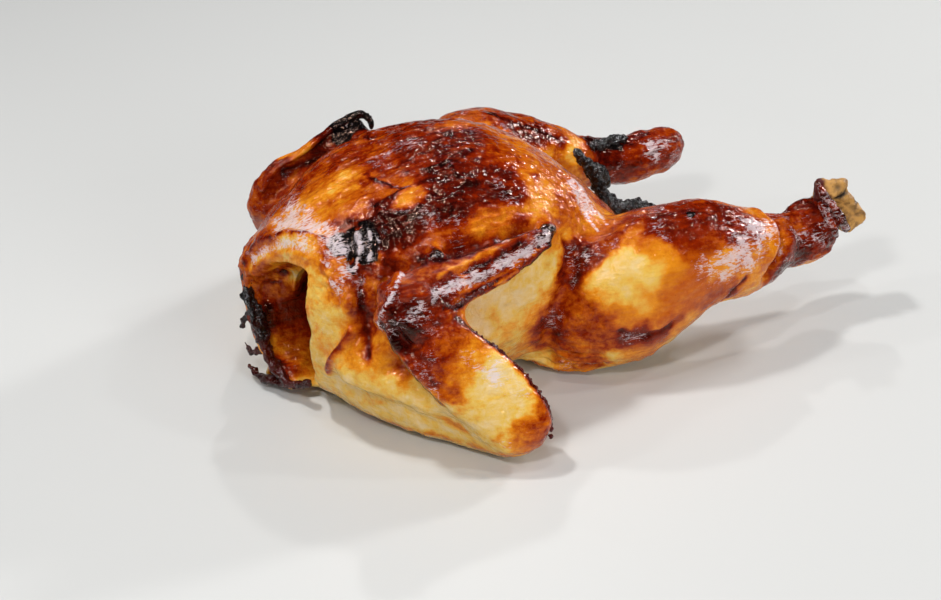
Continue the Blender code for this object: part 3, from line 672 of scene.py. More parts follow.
def streaks_group():
    """Noise drawn out along the bird, as muscle and skin run under the glaze."""
    group, given, out = new_group(
        "long_streaks",
        (("Scale", "NodeSocketFloat", 400.0), ("Amount", "NodeSocketFloat", 1.0),
         ("Detail", "NodeSocketFloat", 5.0)),
        (("Value", "NodeSocketFloat"),),
    )
    turned = wire(group, "ShaderNodeVectorRotate", {"Vector": object_place(group), "Angle": STREAK_TURN},
                  rotation_type="Z_AXIS").outputs[0]
    squeezed = wire(group, "ShaderNodeVectorMath", {0: turned, 1: STREAK_SQUEEZE},
                    operation="MULTIPLY").outputs[0]
    inputs = {"Vector": squeezed, "Scale": given["Scale"], "Detail": given["Detail"], "Roughness": 0.6}
    value = wire(group, "ShaderNodeTexNoise", inputs).outputs["Fac"]
    group.links.new(maths(group, "MULTIPLY", value, given["Amount"]), out["Value"])
    return group


def pores_group():
    """Fine relief of skin: small creases and goose-flesh, as a height."""
    group, given, out = new_group(
        "fine_skin",
        (("Scale", "NodeSocketFloat", 900.0), ("Creases", "NodeSocketFloat", 0.6)),
        (("Height", "NodeSocketFloat"),),
    )
    inputs = {"Vector": object_place(group), "Scale": given["Scale"]}
    cells = wire(group, "ShaderNodeTexVoronoi", inputs, feature="SMOOTH_F1").outputs["Distance"]
    crease = object_noise(group, given["Scale"], 1.0, 0.5, 1.2)
    ridge = maths(group, "ABSOLUTE", maths(group, "SUBTRACT", crease, 0.5))
    mixed = maths(group, "SUBTRACT", cells, maths(group, "MULTIPLY", ridge, given["Creases"]))
    group.links.new(mixed, out["Height"])
    return group


def specks_group():
    """A mask of scattered specks."""
    group, given, out = new_group(
        "specks",
        (("Scale", "NodeSocketFloat", 400.0), ("Share", "NodeSocketFloat", 0.2)),
        (("Mask", "NodeSocketFloat"),),
    )
    inputs = {"Vector": object_place(group), "Scale": given["Scale"]}
    cells = wire(group, "ShaderNodeTexVoronoi", inputs).outputs["Distance"]
    group.links.new(stretch_range(group, cells, given["Share"], 0.0), out["Mask"])
    return group


GROUPS = {}


def groups():
    """The shared node groups, made on first use."""
    if not GROUPS:
        GROUPS.update(
            uneven=uneven_group(), skin=pores_group(), specks=specks_group(), streaks=streaks_group()
        )
    return GROUPS


def place_group(tree, name, inputs):
    return wire(tree, "ShaderNodeGroup", node_tree=groups()[name], inputs=inputs).outputs[0]


def attribute(tree, name):
    return wire(tree, "ShaderNodeAttribute", attribute_name=name).outputs["Fac"]


def new_material(name):
    material = bpy.data.materials.new(name)
    material.use_nodes = True
    tree = material.node_tree
    return material, tree, tree.nodes["Principled BSDF"]


def solid(value):
    return (*value, 1.0)


# ---------------------------------------------------------------------------------------------- materials


def roast_ramp(tree, value, colours):
    """The colours of skin from hardly roasted to burnt."""
    ramp = wire(tree, "ShaderNodeValToRGB", {"Fac": value})
    stops = (
        (0.0, colours.cream), (0.16, colours.straw), (0.30, colours.gold), (0.46, colours.amber),
        (0.62, colours.brown), (0.76, colours.mahogany), (0.88, colours.burgundy), (1.0, colours.deep),
    )
    bar = ramp.color_ramp
    bar.elements[0].position, bar.elements[0].color = 0.0, solid(stops[0][1])
    bar.elements[1].position, bar.elements[1].color = 1.0, solid(stops[-1][1])
    for place, tone in stops[1:-1]:
        bar.elements.new(place).color = solid(tone)
    return ramp.outputs["Color"]


# How much the browning varies where the skin is pale and where it's dark, by the size of the variation.
BROAD_UNEVEN, FINE_UNEVEN, CALM_SHARE = (0.60, 0.50), (0.45, 1.0), 0.4
# How strongly the painted highlights cover, how much wrinkles and patches break them, and how far they show.
PAINTED_SHEEN_COVER, PAINTED_SHEEN_BREAKS, PAINTED_SHEEN_SHARE = 2.4, 1.5, 0.76
# The warm shine of the glaze, and the light that goes a little way into the flesh under it.
GLAZE = {
    "Specular IOR Level": 0.42,
    "Specular Tint": (1.0, 0.60, 0.45, 1.0),
    "Subsurface Weight": 0.08,
    "Subsurface Radius": (1.0, 0.45, 0.15),
    "Subsurface Scale": 0.004,
}


def browned(tree, roast):
    """How far each spot is roasted once fat and glaze have made it uneven."""
    share = stretch_range(tree, attribute(tree, "calm"), 0.0, 1.0, 1.0, CALM_SHARE)
    lively = maths(tree, "MULTIPLY", stretch_range(tree, roast, 0.08, 0.5, *FINE_UNEVEN), share)
    broad = maths(tree, "MULTIPLY", stretch_range(tree, roast, 0.05, 0.4, *BROAD_UNEVEN), share)
    value = place_group(tree, "uneven", {"Value": roast, "Amount": broad, "Scale": 150.0})
    fine = maths(tree, "MULTIPLY", lively, 0.30)
    value = place_group(tree, "uneven", {"Value": value, "Amount": fine, "Scale": 620.0})
    streak = maths(tree, "SUBTRACT", place_group(tree, "streaks", {"Scale": 320.0}), 0.5)
    streak = maths(tree, "MULTIPLY", streak, maths(tree, "MULTIPLY", lively, 0.45))
    return maths(tree, "ADD", value, streak, clamp=True)


def burnt_over(tree, tone, colours):
    """The tone with burnt skin over it: black with pale grey specks of cinder."""
    share = place_group(tree, "uneven", {"Value": attribute(tree, "burnt"), "Amount": 0.5, "Scale": 380.0})
    share = stretch_range(tree, share, 0.40, 0.60)
    ash_and_glints = stretch_range(tree, object_noise(tree, 700.0, 4.0, 0.7, 1.5), 0.63, 0.72, 0.0, 0.5)
    return mix_colour(tree, share, tone, mix_colour(tree, ash_and_glints, solid(colours.black), solid(colours.ash_and_glints)))


def film_over(tree, tone, colours):
    """The tone with painted highlights over it, broken by fine wrinkles and patches."""
    wrinkles = maths(tree, "SUBTRACT", place_group(tree, "streaks", {"Scale": 560.0, "Detail": 4.0}), 0.5)
    wrinkles = stretch_range(tree, maths(tree, "ABSOLUTE", wrinkles), 0.0, 0.10, 0.0, 0.95)
    patches = stretch_range(tree, object_noise(tree, 420.0, 5.0, 0.75, 0.8), 0.34, 0.66, 0.0, 0.75)
    breaks = maths(tree, "MULTIPLY", maths(tree, "ADD", wrinkles, patches), PAINTED_SHEEN_BREAKS)
    cover = maths(tree, "MULTIPLY", attribute(tree, "film"), PAINTED_SHEEN_COVER)
    cover = maths(tree, "SUBTRACT", cover, breaks, clamp=True)
    return mix_colour(tree, maths(tree, "MULTIPLY", cover, PAINTED_SHEEN_SHARE), tone, solid(colours.film))


def skin_relief(tree):
    """The finest relief: pores and creases of two sizes, and streaks along the bird."""
    fine = place_group(tree, "skin", {"Scale": 560.0, "Creases": 1.6})
    broad = place_group(tree, "skin", {"Scale": 250.0, "Creases": 1.2})
    pores = maths(tree, "ADD", maths(tree, "MULTIPLY", fine, 0.35), broad)
    streaks = place_group(tree, "streaks", {"Scale": 520.0, "Amount": 1.2, "Detail": 1.5})
    return maths(tree, "ADD", pores, streaks)


def finish_relief(tree, shader, height, strength, depth):
    bump = wire(tree, "ShaderNodeBump", {"Height": height, "Strength": strength, "Distance": depth})
    tree.links.new(bump.outputs["Normal"], shader.inputs["Normal"])


def skin_material(colours):
    """Glazed skin: roasted tones, dark specks, then what is burnt, then the painted highlights."""
    material, tree, shader = new_material("roasted_skin")
    roast = attribute(tree, "roast")
    value = browned(tree, roast)
    specks = place_group(tree, "specks", {"Scale": 330.0, "Share": 0.16})
    specks = maths(tree, "MULTIPLY", specks, stretch_range(tree, roast, 0.15, 0.6, 0.0, 0.6))
    tone = mix_colour(tree, specks, roast_ramp(tree, value, colours), solid(colours.mahogany))
    tone = film_over(tree, burnt_over(tree, tone, colours), colours)
    tree.links.new(tone, shader.inputs["Base Color"])
    gloss = stretch_range(tree, value, 0.0, 0.8, 0.20, 0.075)
    uneven = stretch_range(tree, object_noise(tree, 260.0), 0.3, 0.7, -0.02, 0.05)
    tree.links.new(maths(tree, "ADD", gloss, uneven), shader.inputs["Roughness"])
    for name, setting in GLAZE.items():
        shader.inputs[name].default_value = setting
    finish_relief(tree, shader, skin_relief(tree), 0.5, 0.0008)
    return material


def bone_material(colours):
    """Dry bone with dark stains, under skin where it's roasted, and painted black as shade in its cleft."""
    material, tree, shader = new_material("bare_bone")
    stain = stretch_range(tree, object_noise(tree, 200.0, 4.0, 0.6), 0.46, 0.72)
    tone = mix_colour(tree, stain, solid(colours.bone), solid(colours.marrow))
    specks = place_group(tree, "specks", {"Scale": 420.0, "Share": 0.16})
    tone = mix_colour(tree, specks, tone, solid(colours.marrow))
    tone = mix_colour(tree, attribute(tree, "roast"), tone, solid(colours.mahogany))
    # Painted shade in the cleft and hollows, carried by the burnt value.
    dark = place_group(tree, "uneven", {"Value": attribute(tree, "burnt"), "Amount": 0.3, "Scale": 500.0})
    tone = mix_colour(tree, dark, tone, solid(colours.black))
    tree.links.new(tone, shader.inputs["Base Color"])
    rough = stretch_range(tree, stain, 0.0, 1.0, 0.62, 0.42)
    tree.links.new(rough, shader.inputs["Roughness"])
    relief = place_group(tree, "skin", {"Scale": 520.0, "Creases": 1.4})
    finish_relief(tree, shader, relief, 0.35, 0.0005)
    return material


def char_material(colours):
    """Burnt skin: black with a wet sheen, greyish in specks that are partly cinders and partly painted
    glints, and dark red where it's thin.
    """
    material, tree, shader = new_material("burnt_shreds")
    # Pale specks over the black: partly cinders, partly painted glints.
    ash_and_glints = stretch_range(tree, object_noise(tree, 480.0, 5.0, 0.7, 1.5), 0.56, 0.68, 0.0, 0.75)
    tone = mix_colour(tree, ash_and_glints, solid(colours.black), solid(colours.ash_and_glints))
    red = place_group(tree, "uneven", {"Value": attribute(tree, "roast"), "Amount": 0.5, "Scale": 420.0})
    tone = mix_colour(tree, maths(tree, "SUBTRACT", 1.0, red), tone, solid(colours.mahogany))
    tree.links.new(tone, shader.inputs["Base Color"])
    rough = stretch_range(tree, object_noise(tree, 350.0), 0.3, 0.7, 0.12, 0.34)
    tree.links.new(rough, shader.inputs["Roughness"])
    relief = place_group(tree, "skin", {"Scale": 700.0, "Creases": 1.6})
    finish_relief(tree, shader, relief, 0.7, 0.0006)
    return material


MATERIAL_MAKERS = {
    "roasted_skin": skin_material,
    "bare_bone": bone_material,
    "burnt_shreds": char_material,
}


def material_named(name):
    found = bpy.data.materials.get(name)
    return found or MATERIAL_MAKERS[name](bpy.context.scene.roast_colours)


# ------------------------------------------------------------------------------------------- mesh helpers


def vertex_array(mesh):
    values = np.zeros(len(mesh.vertices) * 3, np.float32)
    mesh.vertices.foreach_get("co", values)
    return values.reshape(-1, 3).astype(float)


def normal_array(mesh):
    values = np.zeros(len(mesh.vertices) * 3, np.float32)
    mesh.vertex_normals.foreach_get("vector", values)
    return values.reshape(-1, 3).astype(float)


def set_vertices(mesh, points):
    mesh.vertices.foreach_set("co", points.astype(np.float32).ravel())
    mesh.update()


def set_attribute(mesh, name, values):
    layer = mesh.attributes.get(name) or mesh.attributes.new(name, "FLOAT", "POINT")
    layer.data.foreach_set("value", np.asarray(values, np.float32))


def object_of(name, mesh):
    obj = bpy.data.objects.new(name, mesh)
    bpy.context.scene.collection.objects.link(obj)
    return obj


def applied(obj):
    """Turns the object's modifiers into its mesh."""
    graph = bpy.context.evaluated_depsgraph_get()
    graph.update()
    made = bpy.data.meshes.new_from_object(obj.evaluated_get(graph))
    obj.modifiers.clear()
    old, obj.data = obj.data, made
    bpy.data.meshes.remove(old)


def remeshed(obj, voxel, smoothing):
    """Rebuilds the mesh as an even grid and evens out its facets."""
    remesh = obj.modifiers.new("Remesh", "REMESH")
    remesh.mode, remesh.voxel_size = "VOXEL", voxel * MM
    smooth = obj.modifiers.new("Smooth", "SMOOTH")
    smooth.factor, smooth.iterations = 0.5, smoothing
    applied(obj)


def finished(obj, material):
    """Smooth shading, the material, and the bird's one body and record slot."""
    obj.data.materials.clear()
    obj.data.materials.append(material_named(material))
    obj.data.shade_smooth()
    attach(obj, "root")
    return obj


def tube_rings(stations, sides, twist=0.0):
    """Rings round a line of (x, y, z, radius, flatness) stations; flatness 1 is round."""
    rows = np.asarray(stations, float)
    rings = []
    up = Vector((0.3, 0.2, 1.0)).normalized()
    for i, row in enumerate(rows):
        ahead = rows[min(i + 1, len(rows) - 1)][:3] - rows[max(i - 1, 0)][:3]
        tangent = Vector(ahead).normalized()
        side = tangent.cross(up).normalized()
        top = side.cross(tangent)
        turn = twist * i
        ring = []
        for k in range(sides):
            angle = 2 * math.pi * k / sides + turn
            wide, high = math.cos(angle) * row[3], math.sin(angle) * row[3] * row[4]
            ring.append(Vector(row[:3]) + side * wide + top * high)
        rings.append(ring)
    return rings


def add_rings(mesh, rings):
    """Skins the rings into the bmesh as one closed tube."""
    rows = [[mesh.verts.new(point) for point in ring] for ring in rings]
    count = len(rows[0])
    for lower, upper in zip(rows, rows[1:]):
        for i in range(count):
            j = (i + 1) % count
            mesh.faces.new((lower[i], lower[j], upper[j], upper[i]))
    mesh.faces.new(list(reversed(rows[0])))
    mesh.faces.new(rows[-1])


def smooth_line(stations, steps):
    """More stations in between, along a smooth curve."""
    rows = np.asarray(stations, float)
    out = []
    for i in range(len(rows) - 1):
        a, b = rows[max(i - 1, 0)], rows[i]
        c, d = rows[i + 1], rows[min(i + 2, len(rows) - 1)]
        for step in range(steps):
            t = step / steps
            out.append(0.5 * (2 * b + (c - a) * t + (2 * a - 5 * b + 4 * c - d) * t * t
                              + (3 * b - a - 3 * c + d) * t**3))
    out.append(rows[-1])
    return out


def mesh_from(name, build):
    """A mesh object made by build in a bmesh in the bird's millimetres, then placed in the frame."""
    mesh = bmesh.new()
    build(mesh)
    bmesh.ops.recalc_face_normals(mesh, faces=mesh.faces)
    data = bpy.data.meshes.new(name)
    mesh.to_mesh(data)
    mesh.free()
    set_vertices(data, to_world(vertex_array(data)))
    return object_of(name, data)


def raised(obj, points, relief, floor=None):
    """Moves the points out from the surface by the relief, in the bird's millimetres."""
    points += relief[:, None] * normal_array(obj.data)
    if floor is not None:
        points[:, 2] = np.maximum(points[:, 2], floor)
    set_vertices(obj.data, to_world(points))


def tube_piece(name, lines, steps, sides, twist=0.0):
    """One mesh of tubes along smooth lines of stations."""

    def build(mesh):
        for line in lines:
            add_rings(mesh, tube_rings(smooth_line(line, steps), sides, twist))

    return mesh_from(name, build)


def bird_points(obj):
    return to_bird(vertex_array(obj.data))


def set_attributes(obj, **values):
    """Gives every vertex its named values; a single number is for the whole piece."""
    for name, value in values.items():
        set_attribute(obj.data, name, np.clip(value, 0, 1) + np.zeros(len(obj.data.vertices)))


# ------------------------------------------------------------------------------------------------- pieces

SKIN_TRIANGLES = 192000
SKIN_SMOOTHING = 14
FOLD_SCALE = 1.25
BONE_START = 118.0  # along X, where the skin has drawn back from the joint end
BARE_FADE, BARE_DEPTH = 5.0, 5.0  # over what length and how deep it has drawn back
FLAT_FADE = 3.0  # the height above the floor over which the relief fades in


# The torn neck opening, as outlines of (y, z); each is cut between the listed X stations and their scales.
NECK_TEAR = ((19.6, 37), (20.5, 44), (17.5, 52), (10.5, 59), (0.5, 65), (-10, 69), (-18, 69), (-20.5, 62),
             (-21, 52), (-22, 42), (-22, 32), (-16, 30), (2, 30), (14, 31))
NECK_PIT = ((17, 36), (13, 44), (4, 46), (-8, 50), (-19, 52), (-21.5, 44), (-23.5, 33), (-24.5, 23),
            (-20, 17), (-9, 14), (4, 13), (12, 18), (16, 27))
TEARS = (
    (NECK_TEAR, ((-148, 1.06), (-132, 1.0), (-127, 0.92), (-123, 0.7))),
    (NECK_PIT, ((-148, 1.0), (-130, 1.0), (-116, 0.9), (-100, 0.72))),
)


def cut_tears(obj):
    """Cuts the torn neck opening out of the skin."""
    for index, (outline, stations) in enumerate(TEARS):
        ring = np.array(outline, float)
        middle = ring.mean(axis=0)

        def build(mesh):
            rings = []
            for x, scale in stations:
                flat = middle + (ring - middle) * scale
                rings.append([Vector((x, y, z)) for y, z in flat])
            add_rings(mesh, rings)

        cutter = mesh_from(f"tear_{index}", build)
        cut = obj.modifiers.new("Tear", "BOOLEAN")
        cut.operation, cut.solver, cut.object = "DIFFERENCE", "EXACT", cutter
        applied(obj)
        bpy.data.objects.remove(cutter, do_unlink=True)


def make_skin(sizes):
    """The bird's skin: the solid made finer, with every fold, wrinkle and lump."""
    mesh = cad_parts[NODE].data.copy()
    obj = object_of("chicken_skin", mesh)
    weld = bmesh.new()
    weld.from_mesh(mesh)
    bmesh.ops.remove_doubles(weld, verts=weld.verts, dist=1e-6)
    weld.to_mesh(mesh)
    weld.free()
    cut_tears(obj)
    remeshed(obj, 1000 * sizes.grid, SKIN_SMOOTHING)
    points = bird_points(obj)
    roast = roasting(points)
    relief = FOLD_SCALE * fold_relief(points) + wrinkle_relief(points, sizes.wrinkle_scale)
    relief += lump_relief(points, 1000 * sizes.lump_height, roast)
    for x, y, z, radius, height in BULGES:
        relief += height * near(points, (x, y, z), radius)
    bare = np.clip((points[:, 0] - BONE_START) / BARE_FADE, 0, 1)
    relief = relief * (1 - bare) - BARE_DEPTH * bare
    relief *= np.clip(points[:, 2] / FLAT_FADE, 0, 1)
    raised(obj, points, relief, 0.0)
    set_attribute(obj.data, "roast", roast)
    set_attribute(obj.data, "burnt", spotted(points, BURNT_SPOTS, 91) + shoulder_bands(points)[1])
    set_attribute(obj.data, "calm", spotted(points, CALM_SPOTS, 93))
    # Painted highlights and glints on the skin.
    set_attribute(obj.data, "film", filmed(points, roast))
    thin = obj.modifiers.new("Decimate", "DECIMATE")
    thin.ratio = min(1.0, SKIN_TRIANGLES / (2 * len(obj.data.polygons)))
    applied(obj)
    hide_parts(NODE)
    return finished(obj, "roasted_skin")


# The broken face of the joint end looks out to the near side and up.
BONE_FACING = Matrix.Rotation(math.radians(-31), 4, "Z") @ Matrix.Rotation(math.radians(60.5), 4, "X")
# The two condyles of the joint end: middle, half sizes and turn within that face.
CONDYLES = (
    ((119.8, -57.0, 58.6), (7.4, 5.6, 6.5), 2), ((127.6, -60.0, 47.0), (6.8, 7.6, 6.5), 32),
    ((119.0, -56.0, 51.0), (6.0, 6.0, 6.0), 20),
)
BONE_SHAFT = ((108, -55, 44, 5.0, 1.0), (117, -56, 48, 6.0, 1.0), (122, -57, 50, 5.5, 1.0))
CLEFT = ((113, -64, 56), (115.5, -64.5, 57.2), (118, -64.6, 58.2), (120.3, -65.6, 60.1), (124, -65, 61.5))
# The cleft's depth and width in the relief, and the width of the painted shade along it.
CLEFT_DEPTH, CLEFT_WIDTH, CLEFT_SHADE_WIDTH = 2.4, 1.5, 1.4
# Two spots painted dark as shaded hollows; the relief has no hollow there.
BONE_HOLLOWS = ((119.5, -62, 62.5), (126, -66, 52.5))
SKINNED_TO = 116.0  # along X, how far skin still covers the bone


def make_bone(sizes):
    """The bare joint end of the near leg: two worn condyles with a cleft between them, painted dark as
    shade.
    """

    def build_condyle(mesh, middle, half, turn):
        bmesh.ops.create_cube(mesh, size=2.0)
        bmesh.ops.bevel(mesh, geom=list(mesh.edges), offset=0.5, segments=3, affect="EDGES", profile=0.5)
        turned = BONE_FACING @ Matrix.Rotation(math.radians(turn), 4, "Z")
        mesh.transform(Matrix.Translation(Vector(middle)) @ turned @ Matrix.Diagonal((*half, 1.0)))

    parts = [tube_piece("bone_shaft", (BONE_SHAFT,), 4, 20)]
    for middle, half, turn in CONDYLES:
        parts.append(mesh_from("condyle", lambda mesh: build_condyle(mesh, middle, half, turn)))
    obj = joined("shank_bone", parts)
    remeshed(obj, 0.55, 3)
    points = bird_points(obj)
    relief = 1.1 * noise(points, 6.0, 101, 3) + 0.35 * noise(points, 1.8, 103, 2)
    cleft = path_distance(points, CLEFT)
    raised(obj, points, relief - CLEFT_DEPTH * np.exp(-((cleft / CLEFT_WIDTH) ** 2)))
    hollows = sum(near(points, hollow, 2.0) for hollow in BONE_HOLLOWS)
    # The burnt value here is painted shade, black in the cleft and darker in the hollows.
    set_attributes(
        obj,
        burnt=1.2 * np.exp(-((cleft / CLEFT_SHADE_WIDTH) ** 2)) + 0.7 * hollows,
        roast=(SKINNED_TO - points[:, 0] + 2.0 * noise(points, 3.0, 105, 2)) / 3.0,
    )
    return finished(obj, "bare_bone")


def joined(name, objects):
    """One object of all the given ones."""
    mesh = bmesh.new()
    for obj in objects:
        mesh.from_mesh(obj.data)
        bpy.data.objects.remove(obj, do_unlink=True)
    data = bpy.data.meshes.new(name)
    mesh.to_mesh(data)
    mesh.free()
    return object_of(name, data)


# The rolled edge of skin that has drawn back from the joint end.
COLLARS = (
    ((111, -57, 66, 0.8, 1.0), (112, -61, 61, 1.9, 0.9), (115, -64, 55, 2.6, 0.8),
     (119, -66, 49, 2.8, 0.8), (123, -66, 43, 2.2, 0.8), (124.5, -65, 40.5, 1.3, 0.9)),
    ((109, -62, 58, 1.0, 1.0), (112, -65, 51, 2.2, 0.9), (115, -67, 44, 2.4, 0.9),
     (117, -66, 40, 1.4, 0.9)),
)


def make_collar(sizes):
    """The rolled, dark edge of skin round the bare joint end."""
    obj = tube_piece("shank_collar", COLLARS, 6, 14)
    remeshed(obj, 0.5, 2)
    points = bird_points(obj)
    raised(obj, points, 0.6 * noise(points, 3.6, 151, 3))
    # The collar carries half-strength painted highlights.
    set_attributes(obj, roast=0.74 + 0.15 * noise(points, 4.0, 153, 2), burnt=0.0, film=0.5)
    return finished(obj, "roasted_skin")


# The far wing's blade: stations of x, y, z, radius and flatness, and how far each is roasted.
FAR_BLADE = (
    (-112, 60, 68, 2.0, 0.7), (-107, 61, 74, 2.6, 0.6), (-101, 61, 78.5, 2.8, 0.55),
    (-95, 60, 80.5, 2.4, 0.5), (-89, 59, 84, 2.6, 0.5), (-82, 58, 88.5, 2.8, 0.5),
    (-75, 57, 92.5, 2.8, 0.5), (-68, 56, 95, 2.8, 0.5), (-62, 55, 96, 2.4, 0.6),
    (-60, 52, 93.5, 1.8, 0.6), (-60, 50, 90, 0.9, 0.7),
)
FAR_BLADE_ROAST = (0.62, 0.66, 0.72, 0.36, 0.30, 0.80, 0.90, 0.92, 0.97, 1.0, 1.0)
BLADE_TIP = -84  # along X, where its burnt tip begins


def make_far_blade(sizes):
    """The thin, singed blade of the far wing, folded along the breast."""
    obj = tube_piece("far_wing_blade", (FAR_BLADE,), 8, 18)
    remeshed(obj, 0.5, 2)
    points = bird_points(obj)
    ridges = grain(points, (0.9, -0.1, 0.4), 1.9, 6, 131)
    raised(obj, points, 0.45 * ridges + 0.3 * noise(points, 4.0, 133, 2))
    stations = np.array(FAR_BLADE)[:, 0]
    roast = np.interp(points[:, 0] + 1.2 * noise(points, 3.0, 135, 2), stations[:-2], FAR_BLADE_ROAST[:-2])
    tip = np.clip((points[:, 0] - BLADE_TIP) / 10, 0, 1)
    # The blade carries faint painted highlights all over.
    set_attributes(obj, roast=roast, burnt=0.9 * tip, film=0.2)
    return finished(obj, "roasted_skin")


# Burnt strips of neck skin, as stations of x, y, z, radius and flatness.
NECK_STRIPS = (
    ((-137, 25, 50, 3.0, 0.6), (-138, 23, 42, 4.6, 0.5), (-137, 18, 35, 5.6, 0.45),
     (-137, 14, 28, 5.4, 0.45), (-137, 10, 21, 5.0, 0.45), (-136, 5, 14, 4.8, 0.5),
     (-134, -1, 9, 4.4, 0.5), (-132, -7, 8, 3.0, 0.5)),
    ((-136, 13, 17, 3.0, 0.6), (-138, 17, 14, 2.6, 0.6), (-139, 21, 12.5, 1.8, 0.6),
     (-140, 25, 16, 0.7, 0.7)),
    ((-132, -3, 6, 3.2, 0.6), (-134, 3, 4.4, 4.0, 0.45), (-137, 11, 3.4, 3.2, 0.45),
     (-139, 18, 4.0, 2.0, 0.6), (-140, 22, 6, 0.8, 0.7)),
    ((-138, 20, 33, 2.2, 0.7), (-140, 23, 29, 1.6, 0.7), (-141, 24, 24, 0.8, 0.8)),
    ((-131, -4, 7, 3.4, 0.6), (-130, -10, 9, 3.0, 0.5), (-128, -15, 12, 1.6, 0.6)),
)
STRIP_TWIST = 0.05


def make_neck_shreds(sizes):
    """The burnt, torn strips of skin round the neck opening."""
    obj = tube_piece("neck_shreds", NECK_STRIPS, 6, 14, STRIP_TWIST)
    remeshed(obj, 0.6, 1)
    points = bird_points(obj)
    raised(obj, points, 1.5 * noise(points, 4.2, 111, 3) + 0.6 * noise(points, 1.6, 113, 2) - 0.4, 0.2)
    set_attributes(obj, roast=0.35 + points[:, 2] / 70.0 + 0.4 * noise(points, 7.0, 115, 2))
    return finished(obj, "burnt_shreds")


# Burnt matter: stations of x, y, z, radius and flatness, with how many crumbs cling to it.
CHAR_MASSES = (
    (((30, 18, 69, 1.0, 1.0), (34, 17, 64, 2.2, 1.0), (38, 16, 58, 3.0, 1.0), (40, 15, 52, 2.6, 1.0),
      (42, 13, 46, 3.6, 1.0), (43, 8, 42, 4.8, 1.0), (40, 0, 44, 4.5, 1.0)), 210),
    (((34, -4, 48, 4.0, 1.0), (40, -8, 48, 4.4, 1.0), (46, -9, 47, 4.4, 1.0), (52, -10, 45, 3.6, 1.0),
      (57, -11, 43, 2.0, 1.0)), 170),
    (((58, 44, 55, 2.0, 0.7), (65, 46, 54, 3.0, 0.6), (72, 47, 53.5, 2.6, 0.6), (77, 47, 53, 1.6, 0.6)),
      70),
    (((48, 39, 51, 2.2, 0.8), (53, 38, 48, 3.0, 0.8), (58, 37, 43, 3.0, 0.8), (60, 36, 38, 2.4, 0.8)),
      50),
)


def make_crumbs(sizes):
    """Burnt, crumbly matter round the vent and in the crook of the far leg."""
    random = np.random.default_rng(7)

    def build(mesh):
        for mass, count in CHAR_MASSES:
            line = np.array(smooth_line(mass, 10))
            add_rings(mesh, tube_rings(line, 12))
            for _ in range(count):
                station = line[random.integers(len(line))]
                out = random.normal(0, 1, 3)
                middle = station[:3] + out / np.linalg.norm(out) * station[3] * (1.0, 1.0, station[4])
                radius = 1000 * sizes.crumb_size * random.uniform(0.45, 1.0)
                turn = Matrix.Rotation(random.uniform(0, math.tau), 4, Vector(random.normal(0, 1, 3)))
                shape = Matrix.Diagonal((*(radius * random.uniform(0.6, 1.1, 3)), 1.0))
                place = Matrix.Translation(Vector(middle)) @ turn @ shape
                bmesh.ops.create_icosphere(mesh, subdivisions=2, radius=1.0, matrix=place)

    obj = mesh_from("burnt_crumbs", build)
    remeshed(obj, 0.5, 0)
    points = bird_points(obj)
    raised(obj, points, 0.5 * noise(points, 1.2, 121, 2))
    set_attributes(obj, roast=1.0)
    return finished(obj, "burnt_shreds")


# Where beads of burnt fat sit, as a line, the way they stand off it and how many.
BEAD_LINES = (
    (((-93, -75, 67), (-81, -71, 67), (-73, -69, 68), (-61, -66, 69), (-47, -63, 73), (-34, -58, 77)),
     (0.2, -0.6, -0.8), 110),
    (((-88, -80, 60), (-80, -84, 53), (-72, -92, 44), (-66, -98, 35), (-62, -103, 25), (-63, -107, 14)),
     (0.9, -0.3, 0.3), 170),
)


def make_beads(sizes):
    """Beads of burnt fat along the trailing edges of the near wing."""
    random = np.random.default_rng(11)
    radius = 1000 * sizes.bead_size

    def build(mesh):
        for path, way, count in BEAD_LINES:
            line = np.array(smooth_line(path, 16))
            for _ in range(count):
                root = line[random.integers(len(line))] - 0.5 * np.array(way) + random.normal(0, 0.35, 3)
                shape = Matrix.Diagonal((*random.uniform(0.35, 1.0, 3), 1.0))
                place = Matrix.Translation(Vector(root)) @ shape
                bmesh.ops.create_icosphere(mesh, subdivisions=2, radius=radius, matrix=place)

    obj = mesh_from("wing_rim_beads", build)
    remeshed(obj, 0.4, 0)
    set_attributes(obj, roast=0.2 + 0.5 * noise(bird_points(obj), 6.0, 141, 2))
    return finished(obj, "burnt_shreds")


# -------------------------------------------------------------------------------------------------- stage

CAMERA_AIM = (-56.9, -30.9, 40.0)
CAMERA_AZIMUTH, CAMERA_ELEVATION = -31.0, 29.5
CAMERA_LENS, CAMERA_DISTANCE = 85.0, 966.5
FLOOR_SIZE = 6.0
# Each lamp is its name, place round the bird (azimuth, elevation), distance, width, height and power.
LAMPS = (
    ("front_lamp", -52, 45, 1.1, 0.12, 0.10, 3.4),
    ("top_lamp", -127, 66, 1.1, 0.12, 0.09, 5.4),
    ("right_lamp", 95, 26, 1.2, 0.14, 0.11, 6.0),
    ("fill_lamp", 6, 18, 1.6, 0.9, 0.6, 11.0),
    ("glint_lamp_1", -31, 78, 1.0, 0.04, 0.04, 1.1),
    ("glint_lamp_2", 150, 42, 1.0, 0.04, 0.04, 1.3),
    ("glint_lamp_3", -105, 34, 1.0, 0.04, 0.04, 1.0),
    ("glint_lamp_4", 60, 50, 1.0, 0.04, 0.04, 1.0),
)
LAMP_TARGET = (-20, 0, 50)
SKY_COLOUR, SKY_STRENGTH = (0.9, 0.93, 1.0, 1.0), 0.16
FLOOR_GAP = 0.0002  # keeps the floor just under the bird's flat
FLOOR_SHADE = (0.7, 0.7, 0.7, 1.0)


def direction(azimuth, elevation):
    turn, rise = math.radians(azimuth), math.radians(elevation)
    return Vector((math.sin(turn) * math.cos(rise), -math.cos(turn) * math.cos(rise), math.sin(rise)))


